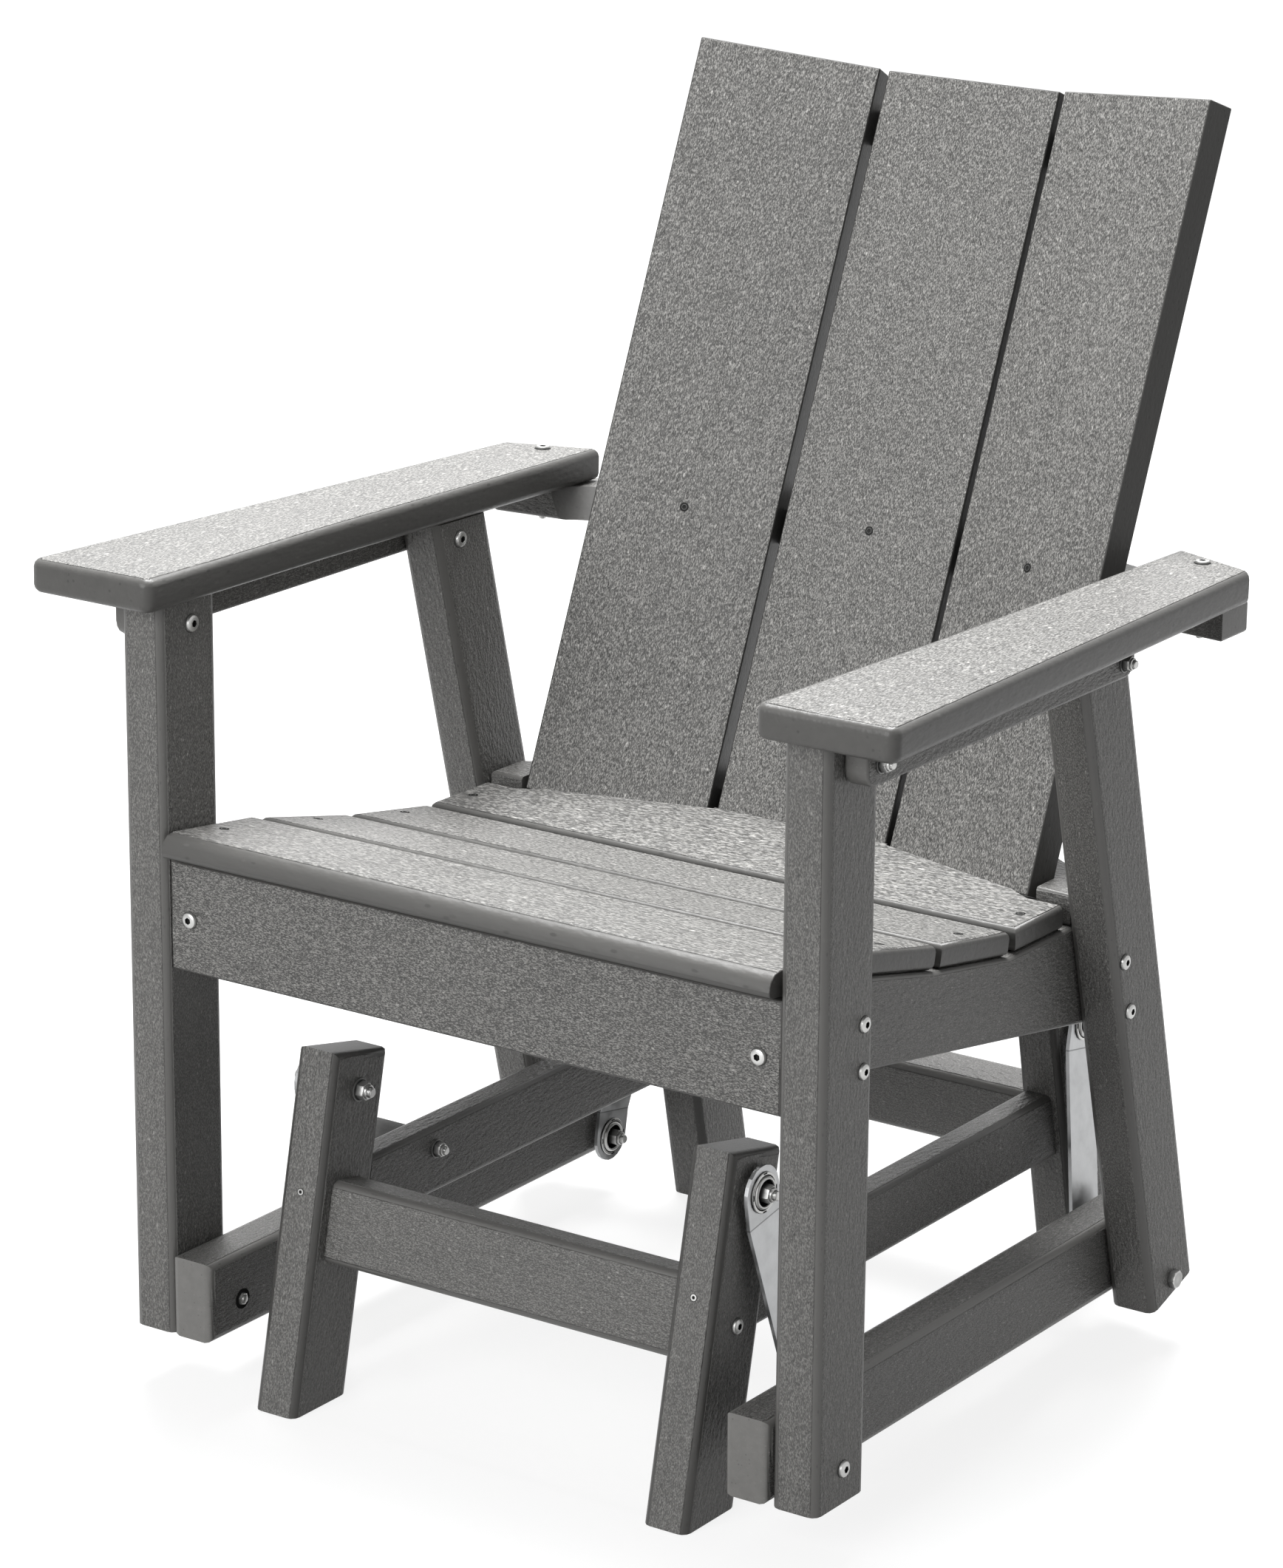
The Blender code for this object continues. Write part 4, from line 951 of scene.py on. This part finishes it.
def bearing_spot(level, end, side):
    """How far out a bearing's two faces are, and its middle's depth and height."""
    low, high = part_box(f"bearing_{level}_{end}_{side}")
    near, far = sorted((abs(low.x), abs(high.x)))
    return near, far, (low.y + high.y) / 2, (low.z + high.z) / 2


print("upper front bearing:", [round(v, 4) for v in bearing_spot("upper", "front", "left")])

# %% [markdown]
# The list below follows the photograph: the bolts through posts, rails and legs, their nuts, the
# screws of the seat and the back, and the nuts on the pivots. Each row says what it is, how large,
# on which board, from where the line comes, and where it goes: from the chair's middle, from the
# front of its frame, and up.

# %% Fasteners on their boards
chair_front = -0.340393
upper_sink, lower_sink = 0.003, 0.0025
seat_places = {1: 0.0457, 2: 0.1568, 3: 0.2643, 4: 0.3524}
seat_rows, base_rows = [], []
for side, way in sides.items():
    post, rear_post = f"front_post_{side}", f"rear_post_{side}"
    cleat, rail = f"arm_cleat_{side}", f"lower_rail_{side}"
    for kind, size, board, view, x, y, z in (
            ("button", 1.0, post, "out", 0, 0.034, 0.070),
            ("sunk_nut", 1.0, rail, "in", 0, 0.034, 0.070),
            ("button", 0.95, post, "out", 0, 0.0495, 0.3963),
            ("button", 0.95, post, "out", 0, 0.0491, 0.3619),
            ("button", 0.95, rear_post, "out", 0, 0.4107, 0.3418),
            ("button", 0.95, rear_post, "out", 0, 0.4213, 0.3001),
            ("button", 1.0, "front_apron", "front", 0.251, 0, 0.374),
            ("low_button", 1.0, f"arm_{side}", "top", 0.3025, 0.5155, 0),
            ("tip", 1.0, "arm_cross_bar", "under", 0.3025, 0.5155, 0),
            ("hex_head", 1.0, rear_post, "out", 0, 0.504, 0.058),
            ("deep_screw", 0.85, f"back_slat_{side}", "front", 0.1576, 0, 0.601),
            ("button", 1.05, post, "in", 0, 0.034, 0.5906),
            ("nut", 1.0, cleat, "out", 0, 0.034, 0.5906),
            ("button", 1.05, rear_post, "in", 0, 0.360, 0.5875),
            ("nut", 1.0, cleat, "out", 0, 0.360, 0.5875)):
        seat_rows.append(set_on(kind, size, board, side, view, (x, y + chair_front, z)))
    for number, y in seat_places.items():
        seat_rows.append(set_on("deep_screw", 0.9, f"seat_slat_{number}", side, "top",
                                (0.251, y + chair_front, 0)))
    base_rows.append(set_on("nut", 1.0, f"base_side_rail_{side}", side, "in",
                            (0, -0.1564, 0.160)))
    for end, y, view in (("front", 0.0643, "front"), ("rear", 0.622 - 0.0643, "rear")):
        leg = f"base_leg_{end}_{side}"
        base_rows.append(set_on("button", 0.95, leg, side, "out", (0, y + chair_front, 0.1408)))
        base_rows.append(set_on("screw", 0.9, leg, side, view, (0.177, 0, 0.167)))
    for end in ends:
        near, far, y, z = bearing_spot("upper", end, side)
        spot = (way * (far - upper_sink), y, z)
        base_rows.append(("pivot_nut", 1.0, spot, (way, 0, 0)))
        base_rows.append(set_on("nut", 1.25, f"base_leg_{end}_{side}", side, "in", (0, y, z)))
        near, far, y, z = bearing_spot("lower", end, side)
        spot = (way * (near + lower_sink), y, z)
        seat_rows.append(("pivot_nut", 1.0, spot, (-way, 0, 0)))
seat_rows.append(set_on("deep_screw", 0.85, "back_slat_middle", "left", "front", (0, 0, 0.601)))

seat_fasteners = make_fasteners("seat_fasteners", "seat_frame", seat_rows)
base_fasteners = make_fasteners("base_fasteners", "base", base_rows)
small_bolts = [f"{kind}_{side}" for side in sides
               for kind in ("arm_bolt", "cleat_bolt_front", "cleat_bolt_rear")]
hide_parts(*small_bolts, *(f"pivot_bolt_lower_{end}_{side}"
                                            for side in sides for end in ends))
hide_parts(*(f"pivot_bolt_upper_{end}_{side}" for side in sides for end in ends))
for piece in (seat_fasteners, base_fasteners):
    print(piece.name, "faces:", len(piece.data.polygons))

# %% [markdown]
# Each hanger carries a pressed bearing at both ends. It is a ring with a flat flange against the
# strip, a groove, and a convex outer race around a hole; the groove and the hole are darkened with
# painted shade. Four short crimp marks hold the flange, drawn as dashes of painted shade. The same
# turned-part tree makes it from its own rows.

# %% Tree for the bearings
bearing_width, flange_radius = 0.0105, 0.0155
# Rows with a last value of 1 paint shade into the bearing's groove and its hole.
bearing_rows = [(0, 0.44, 0, 1), (0, 0.84, 0, 0), (0.76, 0.84, 0, 0), (0.76, 1, 0, 0),
                (0.8, 1, 0, 0), (0.84, 0.97, 0, 0), (0.84, 0.87, 0, 0), (0.82, 0.86, 0, 1),
                (0.82, 0.82, 0, 1), (0.86, 0.81, 0, 0), (0.95, 0.78, 0, 0), (1, 0.72, 0, 0),
                (0.98, 0.67, 0, 0), (0.92, 0.64, 0, 0.3), (0.9, 0.635, 0, 1), (0.45, 0.62, 0, 1),
                (0.42, 0.44, 0, 1), (0, 0.44, 0, 1)]
crimp_size, crimp_shade, crimp_count = (0.0011, 0.0042, 0.0003), 0.85, 4
crimp_ring, crimp_lift = 0.935, 0.84


def make_bearing_tree():
    """Two bearings on a hanger's two points, with their crimp marks."""
    tree, start, end = new_group("set_bearings", "GeometryNodeTree", [
        ("Geometry", "NodeSocketGeometry", None), ("Radius", "NodeSocketFloat", flange_radius),
        ("Width", "NodeSocketFloat", bearing_width), ("Crimps", "NodeSocketInt", crimp_count),
    ], [("Geometry", "NodeSocketGeometry")])
    ring = add(tree, "GeometryNodeGroup", {"Radius": start.outputs["Radius"],
                                           "Height": start.outputs["Width"]},
               node_tree=turned_group("turned_bearing", bearing_rows))
    circle = add(tree, "GeometryNodeMeshCircle", {
        "Vertices": start.outputs["Crimps"],
        "Radius": math(tree, "MULTIPLY", start.outputs["Radius"], crimp_ring)})
    dash = add(tree, "GeometryNodeMeshCube", {"Size": crimp_size})
    dark = add(tree, "GeometryNodeStoreNamedAttribute", {"Geometry": dash.outputs[0],
                                                         "Name": "shade_and_thread", "Value": crimp_shade},
               data_type="FLOAT", domain="POINT")
    out = tree.nodes.new("GeometryNodeInputPosition").outputs[0]
    facing = add(tree, "FunctionNodeAlignRotationToVector", {"Vector": out}, axis="X").outputs[0]
    crimps = add(tree, "GeometryNodeInstanceOnPoints", {
        "Points": circle.outputs[0], "Instance": dark.outputs[0], "Rotation": facing})
    lift = add(tree, "ShaderNodeCombineXYZ",
               {2: math(tree, "MULTIPLY", start.outputs["Width"], crimp_lift)})
    lifted = add(tree, "GeometryNodeTransform", {"Geometry": crimps.outputs[0],
                                                 "Translation": lift.outputs[0]})
    joined = tree.nodes.new("GeometryNodeJoinGeometry")
    tree.links.new(ring.outputs[0], joined.inputs[0])
    tree.links.new(lifted.outputs[0], joined.inputs[0])
    put = add(tree, "GeometryNodeInstanceOnPoints", {
        "Points": start.outputs["Geometry"], "Instance": joined.outputs[0],
        "Rotation": aimed(tree)})
    finish_parts(tree, end, put.outputs[0], gentle_slope)
    return tree


bearing_tree = make_bearing_tree()
print("bearing inputs:", len(bearing_tree.interface.items_tree))

# %% [markdown]
# The upper bearings look outward and the lower ones inward. Each hanger swings by itself, so its
# two bearings are one piece that rides on it.

# %% Bearings on their hangers
def make_bearings(side, end):
    """Both bearings of one hanger as one plain mesh."""
    name, way = f"{end}_{side}", sides[side]
    places, axes = [], []
    for level, outward in (("upper", way), ("lower", -way)):
        near, far, y, z = bearing_spot(level, end, side)
        places.append((way * (near if level == "upper" else far), y, z))
        axes += [outward, 0, 0]
    sizes = {"Radius": flange_radius, "Width": bearing_width, "Crimps": crimp_count}
    piece = grow(f"bearings_{name}", places, {"axis": ("FLOAT_VECTOR", axes)}, bearing_tree, sizes)
    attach(piece, f"{end}_hanger_{side}")
    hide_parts(*(f"bearing_{level}_{name}" for level in levels))
    return piece


for side in sides:
    for end in ends:
        bearings = make_bearings(side, end)
        print(bearings.name, "faces:", len(bearings.data.polygons))
